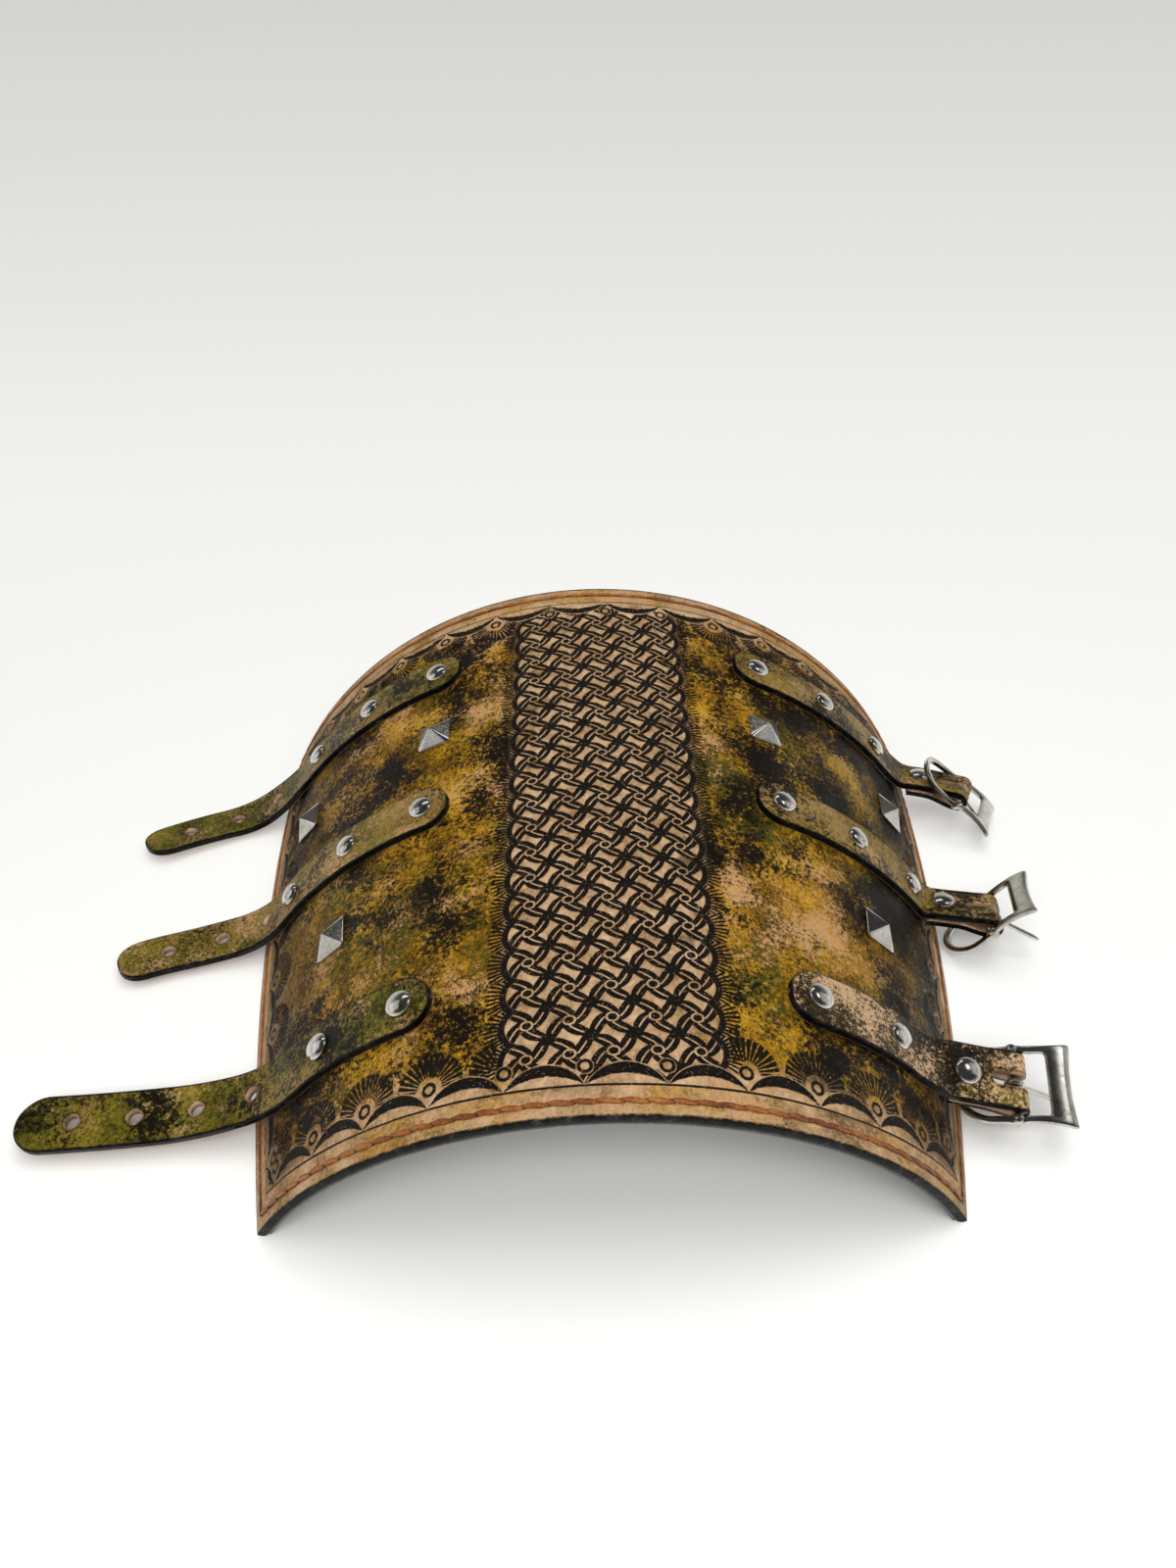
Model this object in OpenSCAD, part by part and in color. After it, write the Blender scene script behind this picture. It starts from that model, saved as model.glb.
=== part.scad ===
// Leather bracer: a lined and tooled forearm guard, closed by three straps and buckles.
// The origin is at the middle of its length, on its mirror plane, level with the long edges that it rests on.
// +X is the buckle side, +Y is the elbow end, +Z is away from the arm.

/* [Shell] */
// Length along the crown, from the wrist end to the elbow end
shell_len = 243; // [225:1:270]
// Width across the two long edges at the wrist end
wrist_w = 211; // [204:1:220]
// Width across the two long edges at the elbow end
elbow_w = 270; // [262:1:280]
// How far the width swells past a straight taper at mid length
side_swell = 15; // [8:1:20]
// Height of the crown at the wrist end
wrist_h = 68; // [64:1:74]
// Height of the crown at the elbow end
elbow_h = 87; // [82:1:94]
// How far the corners of the wrist end are set in from its crown
wrist_bow = 8; // [0:0.5:12]
// How far the corners of the elbow end are set in from its crown
elbow_bow = 4; // [0:0.5:8]
// Thickness of the tooled outer leather
leather_t = 2.6; // [2.2:0.1:3.2]
// Thickness of the suede lining
lining_t = 1; // [0.6:0.1:1.4]
// How far the lining stops short of the shell's long edges
lining_reveal = 0.6; // [0.4:0.1:2]

/* [Border stitching] */
// Distance of the thread from the edge
stitch_inset = 4.5; // [3.5:0.5:6]
// Thickness of the waxed thread
thread_d = 0.9; // [0.6:0.1:1.2]

/* [Straps] */
// Width of each strap
strap_w = 19; // [17:0.5:19]
// Thickness of each strap
strap_t = 2.6; // [2.2:0.1:3]
// Places of the wrist, middle and elbow straps along the shell
strap_y = [-74.5, 6.5, 81.5];
// Distance from the first rivet to the strap's round inner end
end_margin = 10; // [8:0.5:12]
// Diameter of the punched holes
punch_d = 4.4; // [4:0.1:5]
// Spacing of the punched holes
punch_pitch = 20; // [18:0.5:22]
// Distance from the strap's tip to the first punched hole
punch_margin = 18.5; // [16:0.5:21]
// Length over which a strap's tip narrows
tip_len = 10; // [8:0.5:12]

/* [Rivets] */
// Diameter of the domed cap
cap_d = 9; // [8:0.5:10]
// Height of the domed cap
cap_h = 2.4; // [2:0.1:2.8]
// Diameter of the post
post_d = 3; // [2.6:0.1:3.2]
// Thickness of the post's own back cap
back_t = 1.1; // [0.9:0.1:1.3]
// Distance round the shell from the crown to the first rivet of a strap
rivet_first = 64; // [60:0.5:67]
// Spacing of the rivets round the shell
rivet_pitch = 32.5; // [30:0.5:34]

/* [Pyramid studs] */
// Side of the square base
stud_w = 12.7; // [10:0.1:14]
// Height of the stud's low wall
stud_wall = 1; // [0.6:0.1:1.5]
// Height of the whole stud
stud_h = 5; // [4:0.1:6]

/* [Buckles] */
// Diameter of the centre bar
bar_d = 2.4; // [2:0.1:2.8]
// Clear width between the side rails
frame_gap = 20.4; // [20:0.1:21]
// Width of the side rails
rail_w = 2.4; // [2.2:0.1:3.2]
// Thickness of the cast frame
frame_t = 2.3; // [2:0.1:2.6]
// Reach of the square end from the centre bar
square_len = 18; // [17:0.5:21]
// Width of the flat end bar
end_bar_w = 8; // [7:0.5:9]
// Reach of the round end from the centre bar
round_len = 20; // [19:0.5:21]
// Diameter of the prong's wire
prong_d = 1.9; // [1.6:0.1:2]
// Length of the prong from the centre bar
prong_len = 20; // [19:0.5:22]
// Distance of each fold's rivet from the centre bar
fold_rivet = 17.3; // [16:0.1:20]

/* [Hidden] */

wrist = 0;
middle = 1;
elbow = 2;
tan_leather = "#b58a5c";
olive_leather = "#7a6a2c";
dark_leather = "#4a3c28";
suede = "#2c2622";
rust = "#a4502a";
nickel = "#c8c8c6";

// Small gaps: leather on leather, flat metal on curved leather, a post in its hole, a moving face, a wire
seat_gap = 0.05;
back_gap = 0.15;
hole_gap = 0.1;
free_gap = 0.3;
wire_gap = 0.12;
// Length of a punch that goes through any stack of leather
punch_reach = 20;

// Rivets through the shell on each strap
rivet_count = [2, 3, 3];
// How far past its last rivet a strap lifts off the shell
lift_off = 5.5;
// Number of holes punched in each tip strap
punch_count = [4, 3, 3];

// Route of each strap past the place where it lifts off: [length, rise, swing, twist], angles in degrees
tip_legs = [
    [[14, -0.6, 12.8, 9.3], [20, 27.2, -5.8, -6.2], [25, 16.8, -1.2, 5.3], [47, -0.5, 4.4, 1.5]],
    [[9, 12.3, -3.5, -1.9], [16, 29.6, -2.8, 0], [22, 11.2, -6.7, -2.1], [22, -1, -8, -1]],
    [[10, 2.9, -9.2, -7.2], [18, 14.4, -8.4, -0.3], [20, 36.8, -11.4, -5.6], [35, 0, -10, -1.9]]
];
fold_legs = [
    [[12.7, 15.7, 4.9, 3.6], [5.4, 17.6, 0, 12.9], [9.6, 0, 0.6, 0], [12.5, 2.9, 0.2, 0]],
    [[4.5, 23.8, -11.9, -9.6], [1.9, 31.9, 0, -5.3], [9.6, 0, 2.6, 0], [12.5, 0.4, 1.6, 0]],
    [[12.2, 13, -16.4, -12.5], [5.2, 38.6, -1.9, -7.3], [9.6, 0, -10.8, 0], [12.5, 2.8, 0, 0]]
];
// Where each strap bends as a hinge, measured along its route
tip_hinge = [37.5, 20.5, 34.5];
fold_hinge = [5, 4, 5];
// Pitch of each buckle frame from its folded strap, and of each prong from its frame
frame_pitch = [17, 43, -37.5];
prong_pitch = [-40, -68, -12];

// Places of the studs on each half: [distance round the shell from the crown, place along it]
stud_places = [[63, 46], [129, 44], [100, -31]];

// Mesh steps: across the shell, along the shell, along a strap, along a fold
shell_across = 44;
shell_along = 12;
strap_step = 4;
fold_step = 1.3;

function width_at(y) =
    let (v = y / shell_len + 0.5)
    wrist_w + (elbow_w - wrist_w) * v + 4 * side_swell * v * (1 - v);
function height_at(y) = wrist_h + (elbow_h - wrist_h) * (y / shell_len + 0.5);
function radius_at(y) = (pow(width_at(y) / 2, 2) + pow(height_at(y), 2)) / (2 * height_at(y));
function axis_z(y) = height_at(y) - radius_at(y);
// Angle from the crown at which a face meets the plane that the bracer rests on
function edge_angle(y, off) = acos(-axis_z(y) / (radius_at(y) + off));
function skin(angle, y, off) = [
    (radius_at(y) + off) * sin(angle), y, axis_z(y) + (radius_at(y) + off) * cos(angle)
];
function arc_angle(s, y) = s / radius_at(y) * 180 / PI;
function radius_slope(y) = (radius_at(y + 1) - radius_at(y - 1)) / 2;
function axis_slope(y) = (axis_z(y + 1) - axis_z(y - 1)) / 2;
function lean(angle, y) = atan(radius_slope(y) + axis_slope(y) * cos(angle));
// Direction along the shell at an angle from the crown
function along_way(angle, y) =
    let (v = [radius_slope(y) * sin(angle), 1, axis_slope(y) + radius_slope(y) * cos(angle)])
    v / norm(v);
// Place along the shell of a point at share v of its length and share t of its half width
function along(v, t) = shell_len * (v - 0.5) + (wrist_bow * (1 - v) - elbow_bow * v) * t * t;

function total(list, i = 0) = i >= len(list) ? [0, 0, 0] : list[i] + total(list, i + 1);
function sum_to(list, n, i = 0) = i >= n ? 0 : list[i] + sum_to(list, n, i + 1);

// A station is [place, slope, heading, roll]: its direction onward, across the strap, and out of its top face
function heading_of(a, h) = [cos(a) * cos(h), cos(a) * sin(h), sin(a)];
function forward(st) = heading_of(st[1], st[2]);
function level_across(h) = [-sin(h), cos(h), 0];
function across(st) =
    cos(st[3]) * level_across(st[2]) + sin(st[3]) * cross(forward(st), level_across(st[2]));
function normal_of(st) = cross(forward(st), across(st));

// Station after a distance d of one leg
function on_leg(st, leg, d) =
    let (parts = 6, share = d / leg[0])
    [
        st[0] + total([
            for (i = [0:parts - 1])
                let (f = share * (i + 0.5) / parts)
                heading_of(st[1] + leg[1] * f, st[2] + leg[2] * f) * d / parts
        ]),
        st[1] + leg[1] * share, st[2] + leg[2] * share, st[3] + leg[3] * share
    ];
function on_route(st, legs, d, i = 0) =
    i == len(legs) - 1 || d <= legs[i][0]
        ? on_leg(st, legs[i], d)
        : on_route(on_leg(st, legs[i], legs[i][0]), legs, d - legs[i][0], i + 1);
function route_len(legs) = sum_to([for (leg = legs) leg[0]], len(legs));

function rivet_s(i) = rivet_first + i * rivet_pitch;
function lift_s(k) = rivet_s(rivet_count[k] - 1) + lift_off;
// Station where strap k lifts off the shell, at the middle of the strap's thickness
function lift_station(k) =
    let (
        y = strap_y[k], a = arc_angle(lift_s(k), y), w = along_way(a, y),
        out = cross([cos(a), 0, -sin(a)], w), ahead = cross(w, out / norm(out)),
        h = atan2(ahead[1], ahead[0])
    )
    [
        skin(a, y, seat_gap + strap_t / 2), asin(ahead[2]), h,
        atan2(w * cross(ahead, level_across(h)), w * level_across(h))
    ];
function tip_station(k, d) = on_route(lift_station(k), tip_legs[k], d);
function fold_station(k, d) = on_route(lift_station(k), fold_legs[k], d);

// Corners of a strap's cross-section: top and bottom at each edge
function corners(place, w, n) = [place - w + n, place + w + n, place + w - n, place - w - n];
function section(st, half_w, half_t) = corners(st[0], across(st) * half_w, normal_of(st) * half_t);
function skin_section(s, y, half_w) =
    let (a = arc_angle(s, y))
    [
        skin(a, y - half_w, seat_gap + strap_t), skin(a, y + half_w, seat_gap + strap_t),
        skin(a, y + half_w, seat_gap), skin(a, y - half_w, seat_gap)
    ];

// Closed strip through a list of four-cornered sections
module strip(sections) {
    count = len(sections);
    polyhedron(
        points = [for (sec = sections) each sec],
        faces = [
            for (i = [0:count - 2], j = [0:3])
                let (a = 4 * i + j, b = 4 * i + (j + 1) % 4)
                each [[a, b, a + 4], [b, b + 4, a + 4]],
            [0, 2, 1], [0, 3, 2],
            [4 * count - 4, 4 * count - 3, 4 * count - 2], [4 * count - 4, 4 * count - 2, 4 * count - 1]
        ]
    );
}

// Closed sheet between two faces of the shell, cut back by a reveal at its long edges
module sheet(top, bottom, reveal = 0) {
    rows = shell_along;
    cols = shell_across;
    size = (rows + 1) * (cols + 1);
    function at(k, i, j) = k * size + i * (cols + 1) + j;
    polyhedron(
        points = [
            for (off = [top, bottom], i = [0:rows], j = [0:cols])
                let (t = 2 * j / cols - 1, y = along(i / rows, t))
                skin(t * (edge_angle(y, off) - arc_angle(reveal, y)), y, off)
        ],
        faces = [
            for (i = [0:rows - 1], j = [0:cols - 1])
                each [
                    [at(0, i, j), at(0, i + 1, j), at(0, i, j + 1)],
                    [at(0, i, j + 1), at(0, i + 1, j), at(0, i + 1, j + 1)],
                    [at(1, i, j), at(1, i, j + 1), at(1, i + 1, j)],
                    [at(1, i, j + 1), at(1, i + 1, j + 1), at(1, i + 1, j)]
                ],
            for (j = [0:cols - 1])
                each [
                    [at(0, 0, j), at(0, 0, j + 1), at(1, 0, j)],
                    [at(1, 0, j), at(0, 0, j + 1), at(1, 0, j + 1)],
                    [at(0, rows, j), at(1, rows, j), at(0, rows, j + 1)],
                    [at(1, rows, j), at(1, rows, j + 1), at(0, rows, j + 1)]
                ],
            for (i = [0:rows - 1])
                each [
                    [at(0, i, 0), at(1, i, 0), at(0, i + 1, 0)],
                    [at(0, i + 1, 0), at(1, i, 0), at(1, i + 1, 0)],
                    [at(0, i, cols), at(0, i + 1, cols), at(1, i, cols)],
                    [at(0, i + 1, cols), at(1, i + 1, cols), at(1, i, cols)]
                ]
        ]
    );
}

module both_halves() {
    children();
    mirror([1, 0, 0]) children();
}

// Seats what follows on the shell, with its own +Z along the outward normal
module on_skin(s, y, off) {
    a = arc_angle(s, y);
    translate(skin(a, y, off)) rotate([lean(a, y), a, 0]) children();
}

// Seats what follows at rivet i of strap k, on the strap's top face
module on_rivet(k, i) {
    on_skin(rivet_s(i), strap_y[k], strap_t + 2 * seat_gap) children();
}

module punch(d) {
    cylinder(h = punch_reach, d = d, center = true, $fn = 24);
}

module rivet_holes(k) {
    for (i = [0:rivet_count[k] - 1])
        on_rivet(k, i) punch(post_d + 2 * hole_gap);
}

module on_station(st) {
    translate(st[0]) rotate([0, -st[1], st[2]]) rotate([st[3], 0, 0]) children();
}

// Everything that is punched through the shell and its lining
module shell_holes() {
    both_halves() {
        for (k = [wrist, middle, elbow])
            rivet_holes(k);
        for (place = stud_places)
            on_skin(place[0], place[1], seat_gap) stud_slots();
    }
}

// Prongs of a pyramid stud: width, thickness, inset from the stud's side, length turned over at the back
stud_prong_w = 2.4;
stud_prong_t = 0.6;
stud_prong_inset = 1.2;
stud_prong_foot = 3.2;
stud_prong_x = stud_w / 2 - stud_prong_inset;
module stud_slots() {
    for (side = [-1, 1])
        translate([side * stud_prong_x, 0, 0])
            cube([stud_prong_t + 2 * hole_gap, stud_prong_w + 2 * hole_gap, punch_reach], center = true);
}

module outer_shell() {
    color(tan_leather) difference() {
        sheet(0, -leather_t);
        shell_holes();
    }
}

module lining() {
    color(suede) difference() {
        sheet(-leather_t - seat_gap, -leather_t - seat_gap - lining_t, lining_reveal);
        shell_holes();
    }
}

// One closed loop of thread, a fixed distance inside the shell's four edges
thread_steps = 28;
function thread_point(side, f) =
    let (
        t = side == 0 ? f : side == 1 ? 1 : side == 2 ? -f : -1,
        v = side == 0 ? 0 : side == 1 ? (f + 1) / 2 : side == 2 ? 1 : (1 - f) / 2,
        t_in = stitch_inset / (radius_at(along(v, 0)) * edge_angle(along(v, 0), 0) * PI / 180),
        y = along(v, t) * (1 - 2 * stitch_inset / shell_len),
        a = t * (1 - t_in) * edge_angle(y, 0)
    )
    [a, y];
module border_thread() {
    path = [
        for (side = [0:3], i = [0:thread_steps - 1])
            thread_point(side, 2 * i / thread_steps - 1)
    ];
    count = len(path);
    ring = [for (q = [45:90:315]) [cos(q), sin(q)] * thread_d / 2];
    color(rust) polyhedron(
        points = [
            for (i = [0:count - 1])
                let (
                    here = skin(path[i][0], path[i][1], seat_gap + thread_d / 2),
                    ahead = path[(i + 1) % count],
                    behind = path[(i + count - 1) % count],
                    run = skin(ahead[0], ahead[1], 0) - skin(behind[0], behind[1], 0),
                    up = [sin(path[i][0]), 0, cos(path[i][0])],
                    aside = cross(run, up) / norm(cross(run, up))
                )
                for (c = ring) here + aside * c[0] + up * c[1]
        ],
        faces = [
            for (i = [0:count - 1], j = [0:3])
                let (
                    a = 4 * i + j, b = 4 * i + (j + 1) % 4,
                    c = 4 * ((i + 1) % count) + j, d = 4 * ((i + 1) % count) + (j + 1) % 4
                )
                each [[a, b, c], [b, d, c]]
        ]
    );
}

// Share of the strap's half width at share e of the way in from a rounded end; a higher power is squarer
function round_share(e, power) = pow(1 - pow(1 - e, power), 1 / power);
end_steps = [0.02, 0.15, 0.4, 0.7, 1];
tip_power = 2.2;

// The part of strap k that lies on the shell, then its lift up to distance d_end of its route
module fixed_strap(k, legs, d_end, holes) {
    y = strap_y[k];
    start = rivet_first - end_margin;
    flat = lift_s(k) - start - strap_w / 2;
    steps = ceil(flat / strap_step);
    lift_steps = ceil(d_end / 2);
    difference() {
        strip(concat(
            [
                for (f = end_steps)
                    skin_section(start + f * strap_w / 2, y, strap_w / 2 * round_share(f, 2))
            ],
            [for (i = [1:steps]) skin_section(start + strap_w / 2 + flat * i / steps, y, strap_w / 2)],
            [
                for (i = [1:lift_steps])
                    section(on_route(lift_station(k), legs, d_end * i / lift_steps), strap_w / 2, strap_t / 2)
            ]
        ));
        rivet_holes(k);
        on_station(on_route(lift_station(k), legs, d_end))
            rotate([90, 0, 0])
                cylinder(h = 2 * strap_w, r = strap_t / 2 + free_gap, center = true, $fn = 32);
        for (d = holes)
            on_station(on_route(lift_station(k), legs, d)) punch(punch_d);
    }
}

// Round nose of a moving strap at its bend
function nose(st) = [
    for (q = [-80, -55, -30])
        corners(
            st[0] + forward(st) * strap_t / 2 * sin(q),
            across(st) * strap_w / 2, normal_of(st) * strap_t / 2 * cos(q)
        )
];

function punch_places(k) = [
    for (i = [0:punch_count[k] - 1])
        route_len(tip_legs[k]) - punch_margin - i * punch_pitch
];

module tip_strap(k) {
    color(olive_leather) mirror([1, 0, 0])
        fixed_strap(k, tip_legs[k], tip_hinge[k], [for (d = punch_places(k)) if (d < tip_hinge[k]) d]);
}

module tail(k) {
    d_tip = route_len(tip_legs[k]);
    d_flat = d_tip - tip_len;
    steps = ceil((d_flat - tip_hinge[k]) / strap_step);
    color(olive_leather) mirror([1, 0, 0]) difference() {
        strip(concat(
            nose(tip_station(k, tip_hinge[k])),
            [
                for (i = [0:steps])
                    section(
                        tip_station(k, tip_hinge[k] + (d_flat - tip_hinge[k]) * i / steps),
                        strap_w / 2, strap_t / 2
                    )
            ],
            [
                for (i = [3:-1:0])
                    section(
                        tip_station(k, d_tip - end_steps[i] * tip_len),
                        strap_w / 2 * round_share(end_steps[i], tip_power), strap_t / 2
                    )
            ]
        ));
        for (d = punch_places(k))
            if (d > tip_hinge[k])
                on_station(tip_station(k, d)) punch(punch_d);
    }
}

module buckle_strap(k) {
    color(dark_leather) fixed_strap(k, fold_legs[k], fold_hinge[k], []);
}

// Buckle fold: the strap runs over the centre bar, turns round it and comes back underneath
bar_r = bar_d / 2;
wrap_r = bar_r + free_gap + strap_t / 2;
wrap_step = 15;
return_margin = 5.2;
// Slot for the prong, cut through both layers and the turn
slot_w = prong_d + 2.6;
slot_len = 9;
function bar_station(k) =
    let (st = fold_station(k, route_len(fold_legs[k])))
    [st[0] - normal_of(st) * wrap_r, st[1], st[2], st[3]];
// Distance between the two layers' middles, at a distance e back from the bar
function layer_gap(e) =
    let (near = strap_t + free_gap, f = min(e / (fold_rivet - cap_d / 2), 1))
    2 * wrap_r + (near - 2 * wrap_r) * f * f * (3 - 2 * f);
function return_section(k, e) =
    let (st = fold_station(k, route_len(fold_legs[k]) - e), n = normal_of(st))
    corners(st[0] - n * layer_gap(e), across(st) * strap_w / 2, -n * strap_t / 2);

module fold(k) {
    d_bar = route_len(fold_legs[k]);
    steps = ceil((d_bar - fold_hinge[k]) / fold_step);
    bar = bar_station(k);
    back = fold_rivet + return_margin;
    color(dark_leather) difference() {
        strip(concat(
            nose(fold_station(k, fold_hinge[k])),
            [
                for (i = [0:steps])
                    section(
                        fold_station(k, fold_hinge[k] + (d_bar - fold_hinge[k]) * i / steps),
                        strap_w / 2, strap_t / 2
                    )
            ],
            [
                for (q = [wrap_step:wrap_step:180 - wrap_step])
                    let (n = forward(bar) * sin(q) + normal_of(bar) * cos(q))
                    corners(bar[0] + wrap_r * n, across(bar) * strap_w / 2, n * strap_t / 2)
            ],
            [for (i = [0:8]) return_section(k, back * i / 8)]
        ));
        on_station(bar) translate([-slot_len, -slot_w / 2, -punch_reach / 2])
            cube([slot_len + wrap_r + strap_t, slot_w, punch_reach]);
        on_station(fold_station(k, d_bar - fold_rivet)) punch(post_d + 2 * hole_gap);
    }
}

// Domed cap with a rolled rim and a socket for the post; its rim seats at z = 0
socket_depth = 1.3;
socket_gap = 0.05;
rim_h = 0.5;
module rivet_cap() {
    dome_h = cap_h - rim_h;
    dome_r = (pow(cap_d / 2, 2) + pow(dome_h, 2)) / (2 * dome_h);
    difference() {
        union() {
            cylinder(h = rim_h, d = cap_d, $fn = 40);
            intersection() {
                translate([0, 0, cap_h - dome_r]) sphere(r = dome_r, $fn = 64);
                translate([0, 0, rim_h / 2]) cylinder(h = cap_h, d = cap_d, $fn = 40);
            }
        }
        translate([0, 0, -rim_h])
            cylinder(h = rim_h + socket_depth, d = post_d + 2 * socket_gap, $fn = 24);
    }
}

// Post that passes down through a stack of leather to its own back cap
module rivet_post(stack) {
    translate([0, 0, -stack - back_gap])
        cylinder(h = stack + back_gap + socket_depth - hole_gap, d = post_d, $fn = 24);
    translate([0, 0, -stack - back_gap - back_t]) cylinder(h = back_t, d = cap_d, $fn = 40);
}

module shell_caps(k) {
    for (i = [0:rivet_count[k] - 1])
        on_rivet(k, i) rivet_cap();
}

module shell_posts(k) {
    for (i = [0:rivet_count[k] - 1])
        on_rivet(k, i) rivet_post(strap_t + leather_t + lining_t + 3 * seat_gap);
}

module tip_caps(k) {
    color(nickel) mirror([1, 0, 0]) shell_caps(k);
}

module tip_posts(k) {
    color(nickel) mirror([1, 0, 0]) shell_posts(k);
}

module buckle_caps(k) {
    color(nickel) shell_caps(k);
}

module buckle_posts(k) {
    color(nickel) shell_posts(k);
}

module at_fold_rivet(k) {
    on_station(fold_station(k, route_len(fold_legs[k]) - fold_rivet))
        translate([0, 0, strap_t / 2 + seat_gap])
            children();
}

module fold_cap(k) {
    color(nickel) at_fold_rivet(k) rivet_cap();
}

module fold_post(k) {
    color(nickel) at_fold_rivet(k) rivet_post(2 * strap_t + free_gap + seat_gap);
}

// Square stud: low wall, pyramid, and two prongs clinched behind the lining
module pyramid_stud() {
    half = stud_w / 2;
    polyhedron(
        points = [
            [-half, -half, 0], [half, -half, 0], [half, half, 0], [-half, half, 0],
            [-half, -half, stud_wall], [half, -half, stud_wall], [half, half, stud_wall], [-half, half, stud_wall],
            [0, 0, stud_h]
        ],
        faces = [
            [0, 1, 2], [0, 2, 3],
            for (i = [0:3])
                let (j = (i + 1) % 4)
                each [[i, i + 4, j], [j, i + 4, j + 4], [i + 4, 8, j + 4]]
        ]
    );
    stack = leather_t + lining_t + 2 * seat_gap + back_gap;
    for (side = [0, 1])
        mirror([side, 0, 0]) {
            translate([stud_prong_x - stud_prong_t / 2, -stud_prong_w / 2, -stack - stud_prong_t])
                cube([stud_prong_t, stud_prong_w, stack + stud_prong_t + stud_wall / 2]);
            translate([stud_prong_x + stud_prong_t / 2 - stud_prong_foot, -stud_prong_w / 2, -stack - stud_prong_t])
                cube([stud_prong_foot, stud_prong_w, stud_prong_t]);
        }
}

module pyramid_studs() {
    color(nickel) both_halves()
        for (place = stud_places)
            on_skin(place[0], place[1], seat_gap) pyramid_stud();
}

module at_frame(k) {
    on_station(bar_station(k)) rotate([0, -frame_pitch[k], 0]) children();
}

// Plan of the frame: a square end past the bar, and a round end behind it
module frame_plan(half, square_end, round_end) {
    translate([half - round_end, -half]) square([round_end - half + square_end, 2 * half]);
    translate([half - round_end, 0]) circle(r = half, $fn = 72);
}

// Bowed plate between two radii about a line across the frame
module bowed_plate(u, n, r, u_from, u_to) {
    intersection() {
        translate([u, 0, n]) rotate([90, 0, 0]) difference() {
            cylinder(h = 3 * frame_gap, r = r + frame_t / 2, center = true, $fn = 180);
            cylinder(h = 4 * frame_gap, r = r - frame_t / 2, center = true, $fn = 180);
        }
        translate([u_from, -frame_gap, -frame_depth / 2])
            cube([u_to - u_from, 2 * frame_gap, frame_depth]);
    }
}

// Bow radii of the two ends, radius of the boss at each end of the bar, flare of the end bar's corners
square_bow = 34;
round_bow = 36;
boss_r = 2.2;
end_flare = 0.9;
// Depth that holds the whole bowed frame
frame_depth = 20;
module buckle_frame(k) {
    outer = frame_gap / 2 + rail_w;
    color(nickel) at_frame(k) {
        intersection() {
            linear_extrude(height = frame_depth, center = true) difference() {
                union() {
                    frame_plan(outer, square_len, round_len);
                    polygon([
                        [square_len - end_bar_w, -outer], [square_len, -outer - end_flare],
                        [square_len, outer + end_flare], [square_len - end_bar_w, outer]
                    ]);
                }
                frame_plan(frame_gap / 2, square_len - end_bar_w, round_len - rail_w);
            }
            union() {
                bowed_plate(
                    square_len / 2, -sqrt(pow(square_bow, 2) - pow(square_len / 2, 2)),
                    square_bow, 0, square_len + 2
                );
                bowed_plate(
                    -round_len / 2, sqrt(pow(round_bow, 2) - pow(round_len / 2, 2)),
                    round_bow, -round_len - 2, 0
                );
            }
        }
        rotate([90, 0, 0]) cylinder(h = frame_gap + rail_w, d = bar_d, center = true, $fn = 32);
        for (side = [-1, 1])
            translate([0, side * (frame_gap + rail_w) / 2, 0])
                rotate([90, 0, 0]) cylinder(h = rail_w, r = boss_r, center = true, $fn = 32);
    }
}

// Wire prong: an eye round the bar and a straight shank with a round tip
eye_r = bar_r + wire_gap + prong_d / 2;
module prong(k) {
    color(nickel) at_frame(k) rotate([0, -prong_pitch[k], 0]) {
        rotate([90, 0, 0]) rotate_extrude($fn = 48) translate([eye_r, 0]) circle(d = prong_d, $fn = 24);
        translate([eye_r, 0, 0]) rotate([0, 90, 0]) cylinder(h = prong_len - eye_r, d = prong_d, $fn = 24);
        translate([prong_len, 0, 0]) sphere(d = prong_d, $fn = 24);
    }
}

outer_shell();
lining();
border_thread();
pyramid_studs();
tip_strap(wrist);  // wrist_tip_strap
tail(wrist);  // wrist_tail
tip_caps(wrist);  // wrist_tip_caps
tip_posts(wrist);  // wrist_tip_posts
tip_strap(middle);  // middle_tip_strap
tail(middle);  // middle_tail
tip_caps(middle);  // middle_tip_caps
tip_posts(middle);  // middle_tip_posts
tip_strap(elbow);  // elbow_tip_strap
tail(elbow);  // elbow_tail
tip_caps(elbow);  // elbow_tip_caps
tip_posts(elbow);  // elbow_tip_posts
buckle_strap(wrist);  // wrist_buckle_strap
fold(wrist);  // wrist_fold
buckle_caps(wrist);  // wrist_buckle_caps
buckle_posts(wrist);  // wrist_buckle_posts
fold_cap(wrist);  // wrist_fold_cap
fold_post(wrist);  // wrist_fold_post
buckle_frame(wrist);  // wrist_frame
prong(wrist);  // wrist_prong
buckle_strap(middle);  // middle_buckle_strap
fold(middle);  // middle_fold
buckle_caps(middle);  // middle_buckle_caps
buckle_posts(middle);  // middle_buckle_posts
fold_cap(middle);  // middle_fold_cap
fold_post(middle);  // middle_fold_post
buckle_frame(middle);  // middle_frame
prong(middle);  // middle_prong
buckle_strap(elbow);  // elbow_buckle_strap
fold(elbow);  // elbow_fold
buckle_caps(elbow);  // elbow_buckle_caps
buckle_posts(elbow);  // elbow_buckle_posts
fold_cap(elbow);  // elbow_fold_cap
fold_post(elbow);  // elbow_fold_post
buckle_frame(elbow);  // elbow_frame
prong(elbow);  // elbow_prong
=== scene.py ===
# The looks of a leather bracer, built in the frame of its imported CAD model. Lengths are in millimetres, and
# MM turns them into metres.
import math
import bmesh
import bpy
import numpy as np
from mathutils import Matrix, Vector


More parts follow.
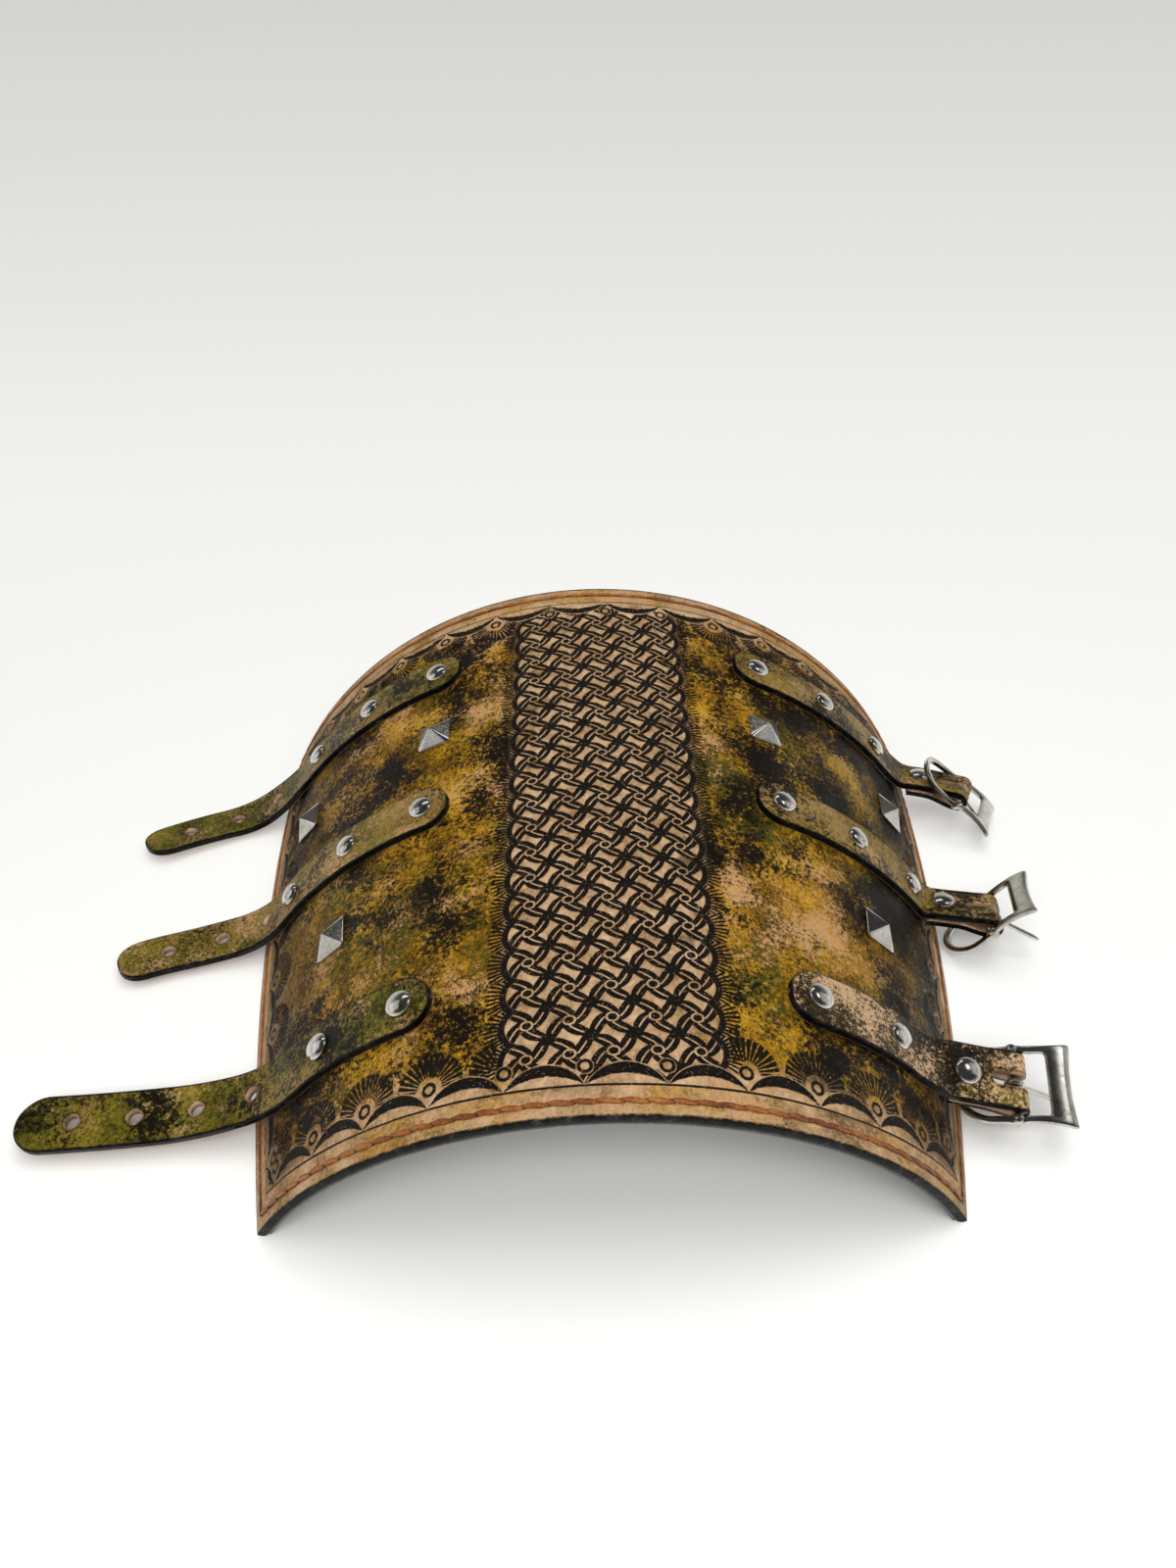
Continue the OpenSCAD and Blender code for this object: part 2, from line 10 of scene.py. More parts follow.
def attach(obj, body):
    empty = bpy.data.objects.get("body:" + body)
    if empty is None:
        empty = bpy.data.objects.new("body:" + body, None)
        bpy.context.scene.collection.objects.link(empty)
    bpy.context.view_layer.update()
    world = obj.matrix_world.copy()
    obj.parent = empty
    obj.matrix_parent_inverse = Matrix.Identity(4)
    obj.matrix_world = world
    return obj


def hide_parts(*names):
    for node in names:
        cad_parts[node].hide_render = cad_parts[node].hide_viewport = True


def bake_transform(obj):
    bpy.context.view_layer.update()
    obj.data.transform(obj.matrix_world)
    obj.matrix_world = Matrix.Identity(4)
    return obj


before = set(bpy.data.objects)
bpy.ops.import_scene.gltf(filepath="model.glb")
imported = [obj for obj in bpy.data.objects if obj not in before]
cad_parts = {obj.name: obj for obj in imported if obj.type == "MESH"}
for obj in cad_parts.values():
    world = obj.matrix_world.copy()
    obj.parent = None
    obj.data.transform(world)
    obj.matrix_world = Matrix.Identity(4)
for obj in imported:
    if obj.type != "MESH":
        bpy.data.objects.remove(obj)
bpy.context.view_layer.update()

# Tooled shell: one sheet of thick vegetable-tanned leather, stamped while damp and moulded to an arch.
# Scallops with fine rays edge its basket weave, and crescents, rings and fans run inside a cut line.
# It is made here as three slabs that share their edges, so that each can carry the relief of its stamps.
MM = 0.001
LENGTH, WRIST_W, ELBOW_W, SWELL = 243, 211, 270, 15
WRIST_H, ELBOW_H, WRIST_BOW, ELBOW_BOW = 68, 87, 8, 4
LEATHER_T, SEAT_GAP = 2.6, 0.05
PANEL_HALF = 31
LOBE_PITCH, LOBE_FIRST, LOBE_COUNT, LOBE_CENTRE, LOBE_R = 11.1, -101.3, 19, 24.8, 6.2
WEAVE_PITCH, WEAVE_LEAN, TILE_HALF_LEN, TILE_HALF_W = 12.2, 0.035, 3.2, 1.04
LINE_INSET, STITCH_INSET = 9.6, 4.5
STAMP_PITCH, SIDE_STAMP_PITCH, NEAR_PHASE, FAR_PHASE, SIDE_PHASE = 22.5, 24.0, -8.0, 3.7, -96.0
CRESCENT_TOP, CRESCENT_BOTTOM, RING_IN, RING_R = 7.0, 3.3, 5.9, 1.75
FAN_START, FAN_REACH, FAN_HALF_TURN, FAN_RAYS = 3.9, 11.6, 1.6, 34
LOBE_RAYS, RAY_LEN, RAY_HALF_TURN = 46, 6.4, 1.3
SHELL_ROWS, BACK_ROWS, BACK_COLS = 541, 28, 24
CUT_EDGE = ((-0.4, 0.1), (-1.0, 0.25), (-1.7, 0.25), (-2.3, 0.1), (-LEATHER_T, 0))


def radius_at(y):
    v = y / LENGTH + 0.5
    width = WRIST_W + (ELBOW_W - WRIST_W) * v + 4 * SWELL * v * (1 - v)
    height = height_at(y)
    return ((width / 2) ** 2 + height ** 2) / (2 * height)


def height_at(y):
    return WRIST_H + (ELBOW_H - WRIST_H) * (y / LENGTH + 0.5)


def axis_z(y):
    return height_at(y) - radius_at(y)


def edge_angle(y, off=0.0):
    return np.arccos(-axis_z(y) / (radius_at(y) + off))


def skin(angle, y, off):
    r = radius_at(y) + off
    return np.stack([r * np.sin(angle), y + 0 * r, axis_z(y) + r * np.cos(angle)], -1)


def along(v, t):
    return LENGTH * (v - 0.5) + (WRIST_BOW * (1 - v) - ELBOW_BOW * v) * t * t


def noise(x, y, seed):
    """Smooth value noise between 0 and 1, one cell to each unit of x and y."""
    xi, yi = np.floor(x), np.floor(y)
    fx, fy = x - xi, y - yi
    fx, fy = fx * fx * (3 - 2 * fx), fy * fy * (3 - 2 * fy)

    def at(a, b):
        h = np.sin(a * 127.1 + b * 311.7 + seed * 74.7) * 43758.5453
        return h - np.floor(h)

    low = at(xi, yi) * (1 - fx) + at(xi + 1, yi) * fx
    high = at(xi, yi + 1) * (1 - fx) + at(xi + 1, yi + 1) * fx
    return low * (1 - fy) + high * fy


MATH_NODES = {
    "add": "ADD", "subtract": "SUBTRACT", "multiply": "MULTIPLY", "divide": "DIVIDE",
    "maximum": "MAXIMUM", "minimum": "MINIMUM", "absolute": "ABSOLUTE", "floor": "FLOOR", "rint": "ROUND",
    "sqrt": "SQRT", "cos": "COSINE", "sign": "SIGN", "arctan2": "ARCTAN2", "power": "POWER",
    "greater": "GREATER_THAN", "less": "LESS_THAN",
}


class Field(np.lib.mixins.NDArrayOperatorsMixin):
    """A node socket on which numpy's functions build Math nodes, so that the same code draws the tooling once
    for the relief of the mesh and once for the colour of the material."""

    def __init__(self, add, socket):
        self.add, self.socket = add, socket

    def made(self, kind, inputs, **settings):
        inputs = {
            key: value.socket if isinstance(value, Field) else float(value) for key, value in inputs.items()
        }
        return Field(self.add, self.add(kind, inputs, **settings).outputs[0])

    def __array_ufunc__(self, ufunc, method, *inputs, **_):
        if ufunc is np.hypot:
            return np.sqrt(inputs[0] * inputs[0] + inputs[1] * inputs[1])
        if ufunc is np.negative:
            return self * -1
        return self.made("Math", dict(enumerate(inputs)), operation=MATH_NODES[ufunc.__name__])


def cloud(x, y, seed):
    """Cloudy noise between 0 and 1 in three sizes of cell."""
    if isinstance(x, Field):
        place = x.made("CombineXYZ", {0: x, 1: y, 2: 7.31 * seed})
        return x.made("TexNoise", {"Vector": place, "Scale": 1, "Detail": 2, "Roughness": 0.5})
    coarse = noise(x, y, seed)
    middle = noise(2.1 * x, 2.1 * y, seed + 1)
    fine = noise(4.3 * x, 4.3 * y, seed + 2)
    return (coarse + middle / 2 + fine / 4) / 1.75


def ramp(x, low, high):
    """Smooth step from 0 at low to 1 at high."""
    if isinstance(x, Field):
        return x.made("MapRange", {0: x, 1: low, 2: high}, interpolation_type="SMOOTHSTEP")
    f = np.clip((x - low) / (high - low), 0, 1)
    return f * f * (3 - 2 * f)


def pick(choice, a, b):
    return choice * a + (1 - choice) * b


def tile_gap(ds, dq, degrees):
    """Distance outside a tile of the weave; its long sides are hollow."""
    c, s = math.cos(math.radians(degrees)), math.sin(math.radians(degrees))
    a, b = ds * c + dq * s, -ds * s + dq * c
    return np.maximum(np.abs(a) - TILE_HALF_LEN, np.abs(b) - TILE_HALF_W - 0.07 * a * a)


def weave(s, q):
    """Black and depth of the basket weave at s across and q along, with an eye at every whole pitch."""
    es = s - WEAVE_PITCH * np.rint(s / WEAVE_PITCH)
    eq = q - LOBE_PITCH * np.rint(q / LOBE_PITCH)
    ks = s - WEAVE_PITCH * (np.floor(s / WEAVE_PITCH) + 0.5)
    kq = q - LOBE_PITCH * (np.floor(q / LOBE_PITCH) + 0.5)
    gap_a, gap_b = tile_gap(es, kq, -32), tile_gap(ks, eq, 53)
    near = np.minimum(gap_a, gap_b)
    eye, knot = np.hypot(es / 1.2, eq), np.hypot(ks, kq)
    ragged = 0.35 * (cloud(s * 0.9, q * 0.9, 5) - 0.5)
    ink = ramp(near + ragged, -0.08, 0.08)
    ridge = (1 - ramp(np.abs(gap_a - gap_b), 0.36, 0.6)) * ramp(knot, 1.9, 2.6) * ramp(eye, 0.9, 1.1)
    ring = 1 - ramp(np.abs(eye - 1.4), 0.18, 0.34)
    line = np.maximum(ridge, ring)
    ink = ink * (1 - line)
    depth = 0.45 * ramp(near, -0.3, 0.3) * (1 - 0.6 * line)
    depth = depth + 0.16 * (1 - ramp(knot, 1, 2.6)) - 0.1 * ramp(-near, 0.3, 1.2)
    return ink, depth + 0.1


def border(p, h, phase, pitch, fans):
    """Black, depth and free ground of the border stamps, p along an edge and h in from it."""
    x = p - phase - pitch * np.rint((p - phase) / pitch)
    u, g = pitch / 2 - np.abs(x), h - LINE_INSET
    r_out = (pitch * pitch / 4 + CRESCENT_TOP ** 2) / (2 * CRESCENT_TOP)
    r_in = (pitch * pitch / 4 + CRESCENT_BOTTOM ** 2) / (2 * CRESCENT_BOTTOM)
    top = np.sqrt(np.maximum(r_out * r_out - u * u, 0)) - r_out + CRESCENT_TOP
    bottom = np.sqrt(np.maximum(r_in * r_in - u * u, 0)) - r_in + CRESCENT_BOTTOM
    torn = 0.9 * (cloud(p / 1.1, h / 1.1, 11) - 0.5)
    crescent = ramp(g - bottom - torn, -0.1, 0.25) * (1 - ramp(g - top, -0.2, 0.15))
    teeth = 0.5 + 0.5 * np.cos(2 * math.pi * np.arctan2(u, r_out - CRESCENT_TOP + g) * r_out * np.sign(x))
    r = np.hypot(x, g - RING_IN)
    ring = 1 - ramp(np.abs(r - RING_R), 0.42, 0.68)
    theta = np.arctan2(x, g - RING_IN)
    reach = FAN_REACH - 1.6 * np.abs(theta / 1.66) ** 3
    blade = ramp(np.cos(theta * FAN_RAYS), -0.78 - 0.2 * ramp(r, 4, 11), -0.42)
    smear = ramp(cloud(p / 5, h / 5, 17), 0.58, 0.64)
    fan = np.maximum(blade, 0.95 * smear) * ramp(r, FAN_START, FAN_START + 0.3)
    fan = fan * (1 - ramp(r - reach, -0.4, 0.2)) * ramp(g - top, 0.2, 0.4) * fans
    fan = fan * (1 - ramp(np.abs(theta), FAN_HALF_TURN, FAN_HALF_TURN + 0.08))
    line = 1 - ramp(np.abs(g + 0.1), 0.25, 0.4)
    ink = np.maximum(np.maximum(crescent, ring), np.maximum(fan, line))
    depth = 0.3 * crescent + 0.2 * crescent * teeth + 0.38 * ring + 0.34 * fan + 0.45 * line
    free = ramp(g - np.maximum(top, 0), 0.2, 0.5) * ramp(r, 2.4, 2.6)
    return ink, depth, free


def tooling(s, y, half_arc, near, far):
    """Black, depth, share of sponged colour, inset, darkening of the steep outer flanks (grey-black dye with
    painted shade) and darkness over the whole shell.
    """
    side = half_arc - np.abs(s)
    inset = np.minimum(np.minimum(near, far), side)
    is_far, is_side = far < np.minimum(near, side), side < np.minimum(near, far)
    phase = pick(is_side, SIDE_PHASE, pick(is_far, FAR_PHASE, NEAR_PHASE))
    pitch = pick(is_side, SIDE_STAMP_PITCH, STAMP_PITCH)
    fans = np.maximum(is_side, np.abs(s) > PANEL_HALF + 2)
    ink, depth, free = border(pick(is_side, y, s), inset, phase, pitch, fans)
    q = y - LOBE_FIRST - WEAVE_LEAN * s
    row = np.minimum(np.maximum(np.rint(q / LOBE_PITCH), 0), LOBE_COUNT - 1)
    ls, lq = np.abs(s) - LOBE_CENTRE, q - row * LOBE_PITCH
    r = np.hypot(ls, lq)
    inside = pick(ls > 0, r < LOBE_R - 0.3, np.abs(s) < PANEL_HALF - 2) * (inset > LINE_INSET + 0.6)
    ink_w, depth_w = weave(s, q)
    ink = pick(inside, np.maximum(ink, ink_w * free), ink)
    depth = pick(inside, np.maximum(depth, depth_w * free), depth)
    theta = np.arctan2(lq, ls)
    ray_wave = np.cos(theta * LOBE_RAYS)
    band = ramp(r, LOBE_R - 0.4, LOBE_R - 0.15) * (1 - ramp(r, LOBE_R + 1.5, LOBE_R + 2.2))
    tip = LOBE_R + RAY_LEN + 1.6 * (cloud(s, y, 19) - 0.5)
    rays = ramp(ray_wave, -0.9 + 0.15 * (r - LOBE_R), -0.6 + 0.15 * (r - LOBE_R))
    rays = rays * ramp(r, LOBE_R + 1.2, LOBE_R + 1.6) * (1 - ramp(r, tip - 0.6, tip))
    rays = rays * (np.abs(theta) < RAY_HALF_TURN)
    rim = np.maximum(band, rays) * (ls > 0) * ramp(inset, LINE_INSET + 4, LINE_INSET + 5)
    ink = np.maximum(ink, rim * ramp(free, 0, 1))
    depth = np.maximum(depth, (0.36 * band + 0.07 * band * (1 + ray_wave) + 0.26 * rays) * (ls > 0) * free)
    mottle = ramp(inset, LINE_INSET + 3, LINE_INSET + 11) * ramp(np.abs(s), PANEL_HALF - 1, PANEL_HALF + 3)
    stray = ramp(cloud(s / 9, y / 9, 29), 0.5, 0.66) * ramp(np.abs(s), 10, 26) * (inset > LINE_INSET)
    mottle = np.maximum(mottle, 0.75 * stray)
    mottle = np.maximum(mottle, 0.7 * ramp(cloud(s / 14, y / 14, 31), 0.35, 0.6) * (inset < LINE_INSET))
    groove = 1 - ramp(np.abs(inset - STITCH_INSET), 0.5, 1.0)
    depth = np.maximum(depth, 0.35 * groove)
    depth = depth + 0.1 * (cloud(s / 1.2, y / 1.2, 37) - 0.5) + 0.16 * (cloud(s / 7, y / 7, 41) - 0.5)
    # Grey darkening towards the steep outer flanks: grey-black dye at the side edges together with painted
    # shade where the flanks turn away from the light.
    outward = np.abs(s) / half_arc + 0.2 * (cloud(s / 12, y / 12, 43) - 0.5)
    smoke_and_shade = ramp(outward + 0.08 * (s > 0), 0.56, 0.92) * ramp(inset, LINE_INSET - 1, LINE_INSET + 2)
    sandy = ramp(y, -85, -55) * (1 - ramp(y, -45, 5)) * (1 - ramp(s, 75, 105))
    darkness = 0.045 - 0.13 * (1 - ramp(inset, 12, 28)) + ramp(s, 20, 70) * (0.06 - 0.19 * sandy)
    return ink, np.maximum(depth, 0), mottle, inset, smoke_and_shade, darkness


def strip_between(a, b):
    """Triangles between two closed loops of (index, position round the loop)."""
    faces, i, j = [], 0, 0
    while i < len(a) or j < len(b):
        next_a = a[i + 1][1] if i + 1 < len(a) else 1.0
        next_b = b[j + 1][1] if j + 1 < len(b) else 1.0
        if j >= len(b) or (i < len(a) and next_a <= next_b):
            faces.append((a[i][0], a[(i + 1) % len(a)][0], b[j % len(b)][0]))
            i += 1
        else:
            faces.append((a[i % len(a)][0], b[(j + 1) % len(b)][0], b[j][0]))
            j += 1
    return faces


def rim_loop(rows, cols, first=0):
    """Indices round the border of a grid, each with its position round the loop."""
    grid = first + np.arange(rows * cols).reshape(rows, cols)
    sides = [grid[0, :-1], grid[:-1, -1], grid[-1, :0:-1], grid[:0:-1, 0]]
    return [(int(v), (k + n / len(side)) / 4) for k, side in enumerate(sides) for n, v in enumerate(side)]


def grid_faces(rows, cols, first=0):
    """Quads of a grid of points."""
    base = (first + np.arange(rows - 1)[:, None] * cols + np.arange(cols - 1)).ravel()
    return np.stack([base, base + 1, base + cols + 1, base + cols], 1).tolist()


def piece(name, points, faces, material, slot, replaced, body=None, **values):
    """A closed mesh with outward faces, its own attributes and the CAD nodes that it stands for; slot is not
    used.
    """
    mesh = bpy.data.meshes.new(name)
    mesh.from_pydata((np.asarray(points, float) * MM).tolist(), [], faces)
    build = bmesh.new()
    build.from_mesh(mesh)
    bmesh.ops.recalc_face_normals(build, faces=build.faces[:])
    build.to_mesh(mesh)
    build.free()
    for key, value in values.items():
        data = mesh.attributes.new(key, "FLOAT", "POINT").data
        data.foreach_set("value", np.asarray(value, np.float32).ravel())
    mesh.polygons.foreach_set("use_smooth", [True] * len(mesh.polygons))
    mesh.materials.append(material)
    obj = bpy.data.objects.new(name, mesh)
    bpy.context.scene.collection.objects.link(obj)
    for node in replaced:
        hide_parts(node)
    if body:
        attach(obj, body)
    return obj


def new_material(name):
    """Empty material with its shader: (material, add node, link)."""
    material = bpy.data.materials.new(name)
    material.use_nodes = True
    tree = material.node_tree
    shader = tree.nodes["Principled BSDF"]

    def add(kind, inputs=(), **settings):
        node = tree.nodes.new("ShaderNode" + kind)
        for key, value in settings.items():
            setattr(node, key, value)
        for key, value in dict(inputs).items():
            if isinstance(value, bpy.types.NodeSocket):
                tree.links.new(value, node.inputs[key])
            else:
                node.inputs[key].default_value = value
        return node

    def link(value, key):
        tree.links.new(value, shader.inputs[key])

    return material, shader, add, link


def srgb(text):
    """Linear colour of a hex colour."""
    parts = [int(text[i:i + 2], 16) / 255 for i in (0, 2, 4)]
    return [c / 12.92 if c <= 0.04045 else ((c + 0.055) / 1.055) ** 2.4 for c in parts] + [1]


def maths(add, operation, *values):
    return add("Math", dict(enumerate(values)), operation=operation).outputs[0]


def noisy(add, where, scale, detail, roughness=0.5):
    """Value of a noise texture; the scale is in cells to the metre."""
    texture = {"Vector": where, "Scale": scale, "Detail": detail, "Roughness": roughness}
    return add("TexNoise", texture).outputs[0]


def span(add, value, low, high, first=0.0, last=1.0):
    """A value carried from low..high to first..last."""
    return add("MapRange", {0: value, 1: low, 2: high, 3: first, 4: last}).outputs[0]


def dye_level(add, where, patch_scale, fleck_scale, seed):
    """Level of a sponged dye: flecks whose share changes from patch to patch."""
    offset = add("Mapping", {"Vector": where, "Location": (seed, 0.3 * seed, 0)}).outputs[0]
    patch = noisy(add, offset, patch_scale, 3.0, 0.6)
    fleck = noisy(add, offset, fleck_scale, 7.0, 0.82)
    sway = maths(add, "MULTIPLY_ADD", patch, 0.85, -0.575)
    return maths(add, "MULTIPLY_ADD", fleck, 1.3, sway)


def shaded(add, level, stops):
    """Colour along a level; stops are (place, hex colour) from 0 to 1."""
    colours = add("ValToRGB", {"Fac": level})
    elements = colours.color_ramp.elements
    while len(elements) < len(stops):
        elements.new(0.5)
    for element, (place, colour) in zip(elements, stops):
        element.position = place
        element.color = srgb(colour)
    return colours.outputs[0]


def sponged(add, where, stops, patch_scale, fleck_scale, seed):
    """Colour and level of dye sponged over leather or metal."""
    level = dye_level(add, where, patch_scale, fleck_scale, seed)
    return shaded(add, level, stops), level


def mixed(add, share, a, b, blend_type="MIX"):
    return add("Mix", {0: share, 6: a, 7: b}, data_type="RGBA", blend_type=blend_type).outputs[2]


def specks(add, where, low, high, patch_scale, fleck_scale, seed, bias):
    """Share of a second dye that lies in crisp flecks, denser from patch to patch."""
    level = dye_level(add, where, patch_scale, fleck_scale, seed)
    return span(add, maths(add, "ADD", level, bias), low, high)


SHELL_TAN = [(0.26, "7a5d40"), (0.42, "a1815c"), (0.56, "b79671"), (0.72, "c9aa86")]
FIBRE = [(0.3, "6b5545"), (0.5, "a68468"), (0.7, "c9a88a")]
CRUST = [(0.42, "050505"), (0.6, "0f0f0e"), (0.75, "45423e")]
# The second grey darkens the shell's steep outer flanks: grey-black dye together with painted shade.
INK, SMOKE_AND_SHADE = "0f0c09", "8a857c"


def leather(name, stops, flecks, seed=0.0, rough=0.5, tooled=False):
    """Dyed and burnished leather. Attributes edge and flesh say where the cut edge and the raw back lie. On
    tooled leather the pattern gives the black, elsewhere attributes ink and mottle do. flecks: (colour, low,
    high, patch scale, fleck scale, share of darkness)."""
    material, shader, add, link = new_material(name)
    where = add("TexCoord").outputs["Object"]

    def value(key):
        return add("Attribute", attribute_name=key).outputs["Fac"]

    if tooled:
        spots = [Field(add, value(key)) for key in ("s", "y", "half", "near", "far")]
        ink, _, mottle, _, smoke_and_shade, darkness = (field.socket for field in tooling(*spots))
    else:
        ink, mottle, smoke_and_shade, darkness = value("ink"), value("mottle"), value("smoke_and_shade"), value("darkness")
    plain = sponged(add, where, SHELL_TAN, 140, 900, seed + 3)[0]
    colour, level = sponged(add, where, stops, 55, 800, seed)
    for n, (shade, low, high, patch_scale, fleck_scale, sway) in enumerate(flecks):
        bias = maths(add, "MULTIPLY", darkness, sway)
        share = specks(add, where, low, high, patch_scale, fleck_scale, seed + 11 + 5 * n, bias)
        colour = mixed(add, share, colour, srgb(shade))
    colour = mixed(add, mottle, plain, colour)
    # Grey multiplied over the outer flanks: grey-black dye together with painted shade where they turn from
    # the light.
    smoke_and_shade = maths(add, "MULTIPLY", smoke_and_shade, 0.8)
    colour = mixed(add, smoke_and_shade, colour, mixed(add, 1.0, colour, srgb(SMOKE_AND_SHADE), "MULTIPLY"))
    worn = span(add, noisy(add, where, 1500.0, 3.0), 0.62, 0.72, 1.0, 0.45)
    ink = maths(add, "MULTIPLY", ink, worn)
    colour = mixed(add, ink, colour, srgb(INK))
    colour = mixed(add, value("flesh"), colour, sponged(add, where, FIBRE, 200, 1800, seed + 5)[0])
    colour = mixed(add, value("edge"), colour, sponged(add, where, CRUST, 300, 2200, seed + 7)[0])
    link(colour, "Base Color")
    link(span(add, level, 0.3, 0.7, rough + 0.12, rough - 0.06), "Roughness")
    shader.inputs["Specular IOR Level"].default_value = 0.13
    grain = add("TexVoronoi", {"Vector": where, "Scale": 1100.0}, feature="DISTANCE_TO_EDGE").outputs[0]
    height = maths(add, "ADD", grain, noisy(add, where, 2600.0, 4.0))
    bump = add("Bump", {"Height": height, "Strength": 0.35, "Distance": 0.00012}).outputs[0]
    link(bump, "Normal")
    return material


tooled_leather = leather(
    "Tooled_leather",
    [(0.3, "3c2803"), (0.42, "704f0a"), (0.5, "936a10"), (0.6, "b08420"), (0.72, "c29a34"), (0.85, "cfae5c")],
    [
        ("3c3c0a", 0.53, 0.66, 30, 500, 0.6),
        ("b98f60", 0.55, 0.6, 45, 700, -1.0),
        ("0c0703", 0.54, 0.58, 45, 650, 1.0),
    ],
    tooled=True,
)


def shell_slab(name, fixed, share):
    """One slab of the shell, its columns at fixed + share x half arc round from the crown."""
    v = np.linspace(0, 1, SHELL_ROWS)[:, None]
    y = LENGTH * (v - 0.5)
    for _ in range(5):
        half_arc = edge_angle(y) * radius_at(y)
        s = fixed + share * half_arc
        y = along(v, s / half_arc)
    half_arc = edge_angle(y) * radius_at(y)
    s = fixed + share * half_arc
    t = s / half_arc
    near, far = y - along(0, t), along(1, t) - y
    _, depth, _, inset, _, _ = tooling(s, y, half_arc, near, far)
    points = [skin(s / radius_at(y), y, -depth * ramp(inset, 0.0, 1.2)).reshape(-1, 3)]
    rows, cols = s.shape
    rim = rim_loop(rows, cols)
    at = np.array([i for i, _ in rim])
    rs, ry, rt = s.ravel()[at], y.ravel()[at], t.ravel()[at]
    end = np.where(at < cols, -1, np.where(at >= (rows - 1) * cols, 1, 0))
    faces = grid_faces(rows, cols)
    loops = [rim]
    edge = [1 - ramp(inset.ravel() + 0.5 * (cloud(s, y, 51).ravel() - 0.5), 0.35, 0.75)]
    for off, out in CUT_EDGE:
        rough = 0.22 * (cloud(rs * 1.4, ry * 1.4 + 9 * off, 61) - 0.5)
        angle = np.where(np.abs(rt) > 0.9999, rt * edge_angle(ry, off), rs / radius_at(ry))
        points.append(skin(angle, ry + end * (out + rough), off))
        first = sum(len(p) for p in points[:-1])
        loops.append([(first + n, where) for n, (_, where) in enumerate(rim)])
        edge.append(np.ones(len(rim)))
    count = len(rim)
    for upper, lower in zip(loops, loops[1:]):
        for n in range(count):
            m = (n + 1) % count
            faces.append((upper[n][0], lower[n][0], lower[m][0], upper[m][0]))
    ci = np.round(np.linspace(12, rows - 13, BACK_ROWS)).astype(int)
    cj = np.round(np.linspace(5, cols - 6, BACK_COLS)).astype(int)
    cs, cy = s[np.ix_(ci, cj)], y[np.ix_(ci, cj)]
    points.append(skin(cs / radius_at(cy), cy, -LEATHER_T).reshape(-1, 3))
    first = sum(len(p) for p in points[:-1])
    faces += strip_between(loops[-1], rim_loop(len(ci), len(cj), first)) + grid_faces(len(ci), len(cj), first)
    points = np.concatenate(points)
    points[:, 2] = np.maximum(points[:, 2], 0)
    extra = len(points) - s.size
    edge = np.concatenate(edge + [np.zeros(cs.size)])
    flat = {"s": s, "y": y, "half": half_arc, "near": near, "far": far}
    return piece(
        name, points, faces, tooled_leather, "tooled_leather", ["outer_shell"], "bracer",
        edge=edge, flesh=np.r_[np.zeros(s.size), np.ones(extra)],
        **{key: np.r_[value.ravel(), np.zeros(extra)] for key, value in flat.items()},
    )


def panel_columns():
    """Distance of each column from the crown, as a fixed part and a share of the half arc."""
    fixed = np.linspace(-PANEL_HALF, PANEL_HALF, 160)
    return fixed, 0 * fixed


def flank_columns():
    """The same for a flank: dense columns over the rays and the border stamps, open ones between."""
    ray_end, stamps = PANEL_HALF + 8, 27
    rays = np.linspace(PANEL_HALF, ray_end, 20)[:-1]
    share = np.linspace(0, 1, 76)
    rim = np.linspace(0, 1, 64)[1:]
    fixed = np.r_[rays, ray_end - (ray_end + stamps) * share, stamps * (rim - 1)]
    return fixed, np.r_[0 * rays, share, 0 * rim + 1]


flank_fixed, flank_share = flank_columns()
shell_slab("Tooled_weave_panel", *panel_columns())
shell_slab("Tooled_buckle_flank", flank_fixed, flank_share)
shell_slab("Tooled_tip_flank", -flank_fixed[::-1], -flank_share[::-1])

# Lining: a sheet of thin dark suede, glued to the shell's flesh side with its nap inwards. It is held by the
# border stitching too, and its cut edge ends a little inside the shell's.
LINING_TOP, LINING_T, LINING_REVEAL = -LEATHER_T - SEAT_GAP, 1.0, 0.6
v, t = np.meshgrid(np.linspace(0, 1, 150), np.linspace(-1, 1, 190), indexing="ij")
y = along(v, t)
layers = []
for off in (LINING_TOP, LINING_TOP - 0.35, LINING_TOP - LINING_T):
    angle = t * (edge_angle(y, off) - LINING_REVEAL / radius_at(y))
    nap = 0.12 * (cloud(v * 160, t * 180, 71) - 0.5) if off < LINING_TOP else 0
    layers.append(skin(angle, y, off + nap))
rows, cols = v.shape
top, waist, under = layers
rim = [i for i, _ in rim_loop(rows, cols)]
points = np.concatenate([top.reshape(-1, 3), under.reshape(-1, 3), waist.reshape(-1, 3)[rim]])
size, count = rows * cols, len(rim)
faces = grid_faces(rows, cols) + grid_faces(rows, cols, size)
for n in range(count):
    m = (n + 1) % count
    faces.append((rim[n], rim[m], 2 * size + m, 2 * size + n))
    faces.append((2 * size + n, 2 * size + m, size + rim[m], size + rim[n]))
suede, shader, add, link = new_material("Suede")
where = add("TexCoord").outputs["Object"]
brushed, level = sponged(add, where, [(0.35, "1a1613"), (0.5, "2e2722"), (0.65, "443a32")], 45, 700, 1)
link(brushed, "Base Color")
link(add("Bump", {"Height": level, "Strength": 0.6, "Distance": 0.0004}).outputs[0], "Normal")
shader.inputs["Roughness"].default_value = 0.95
shader.inputs["Sheen Weight"].default_value = 0.35
piece("Suede_lining", points, faces, suede, "suede_lining", ["lining"], "bracer")

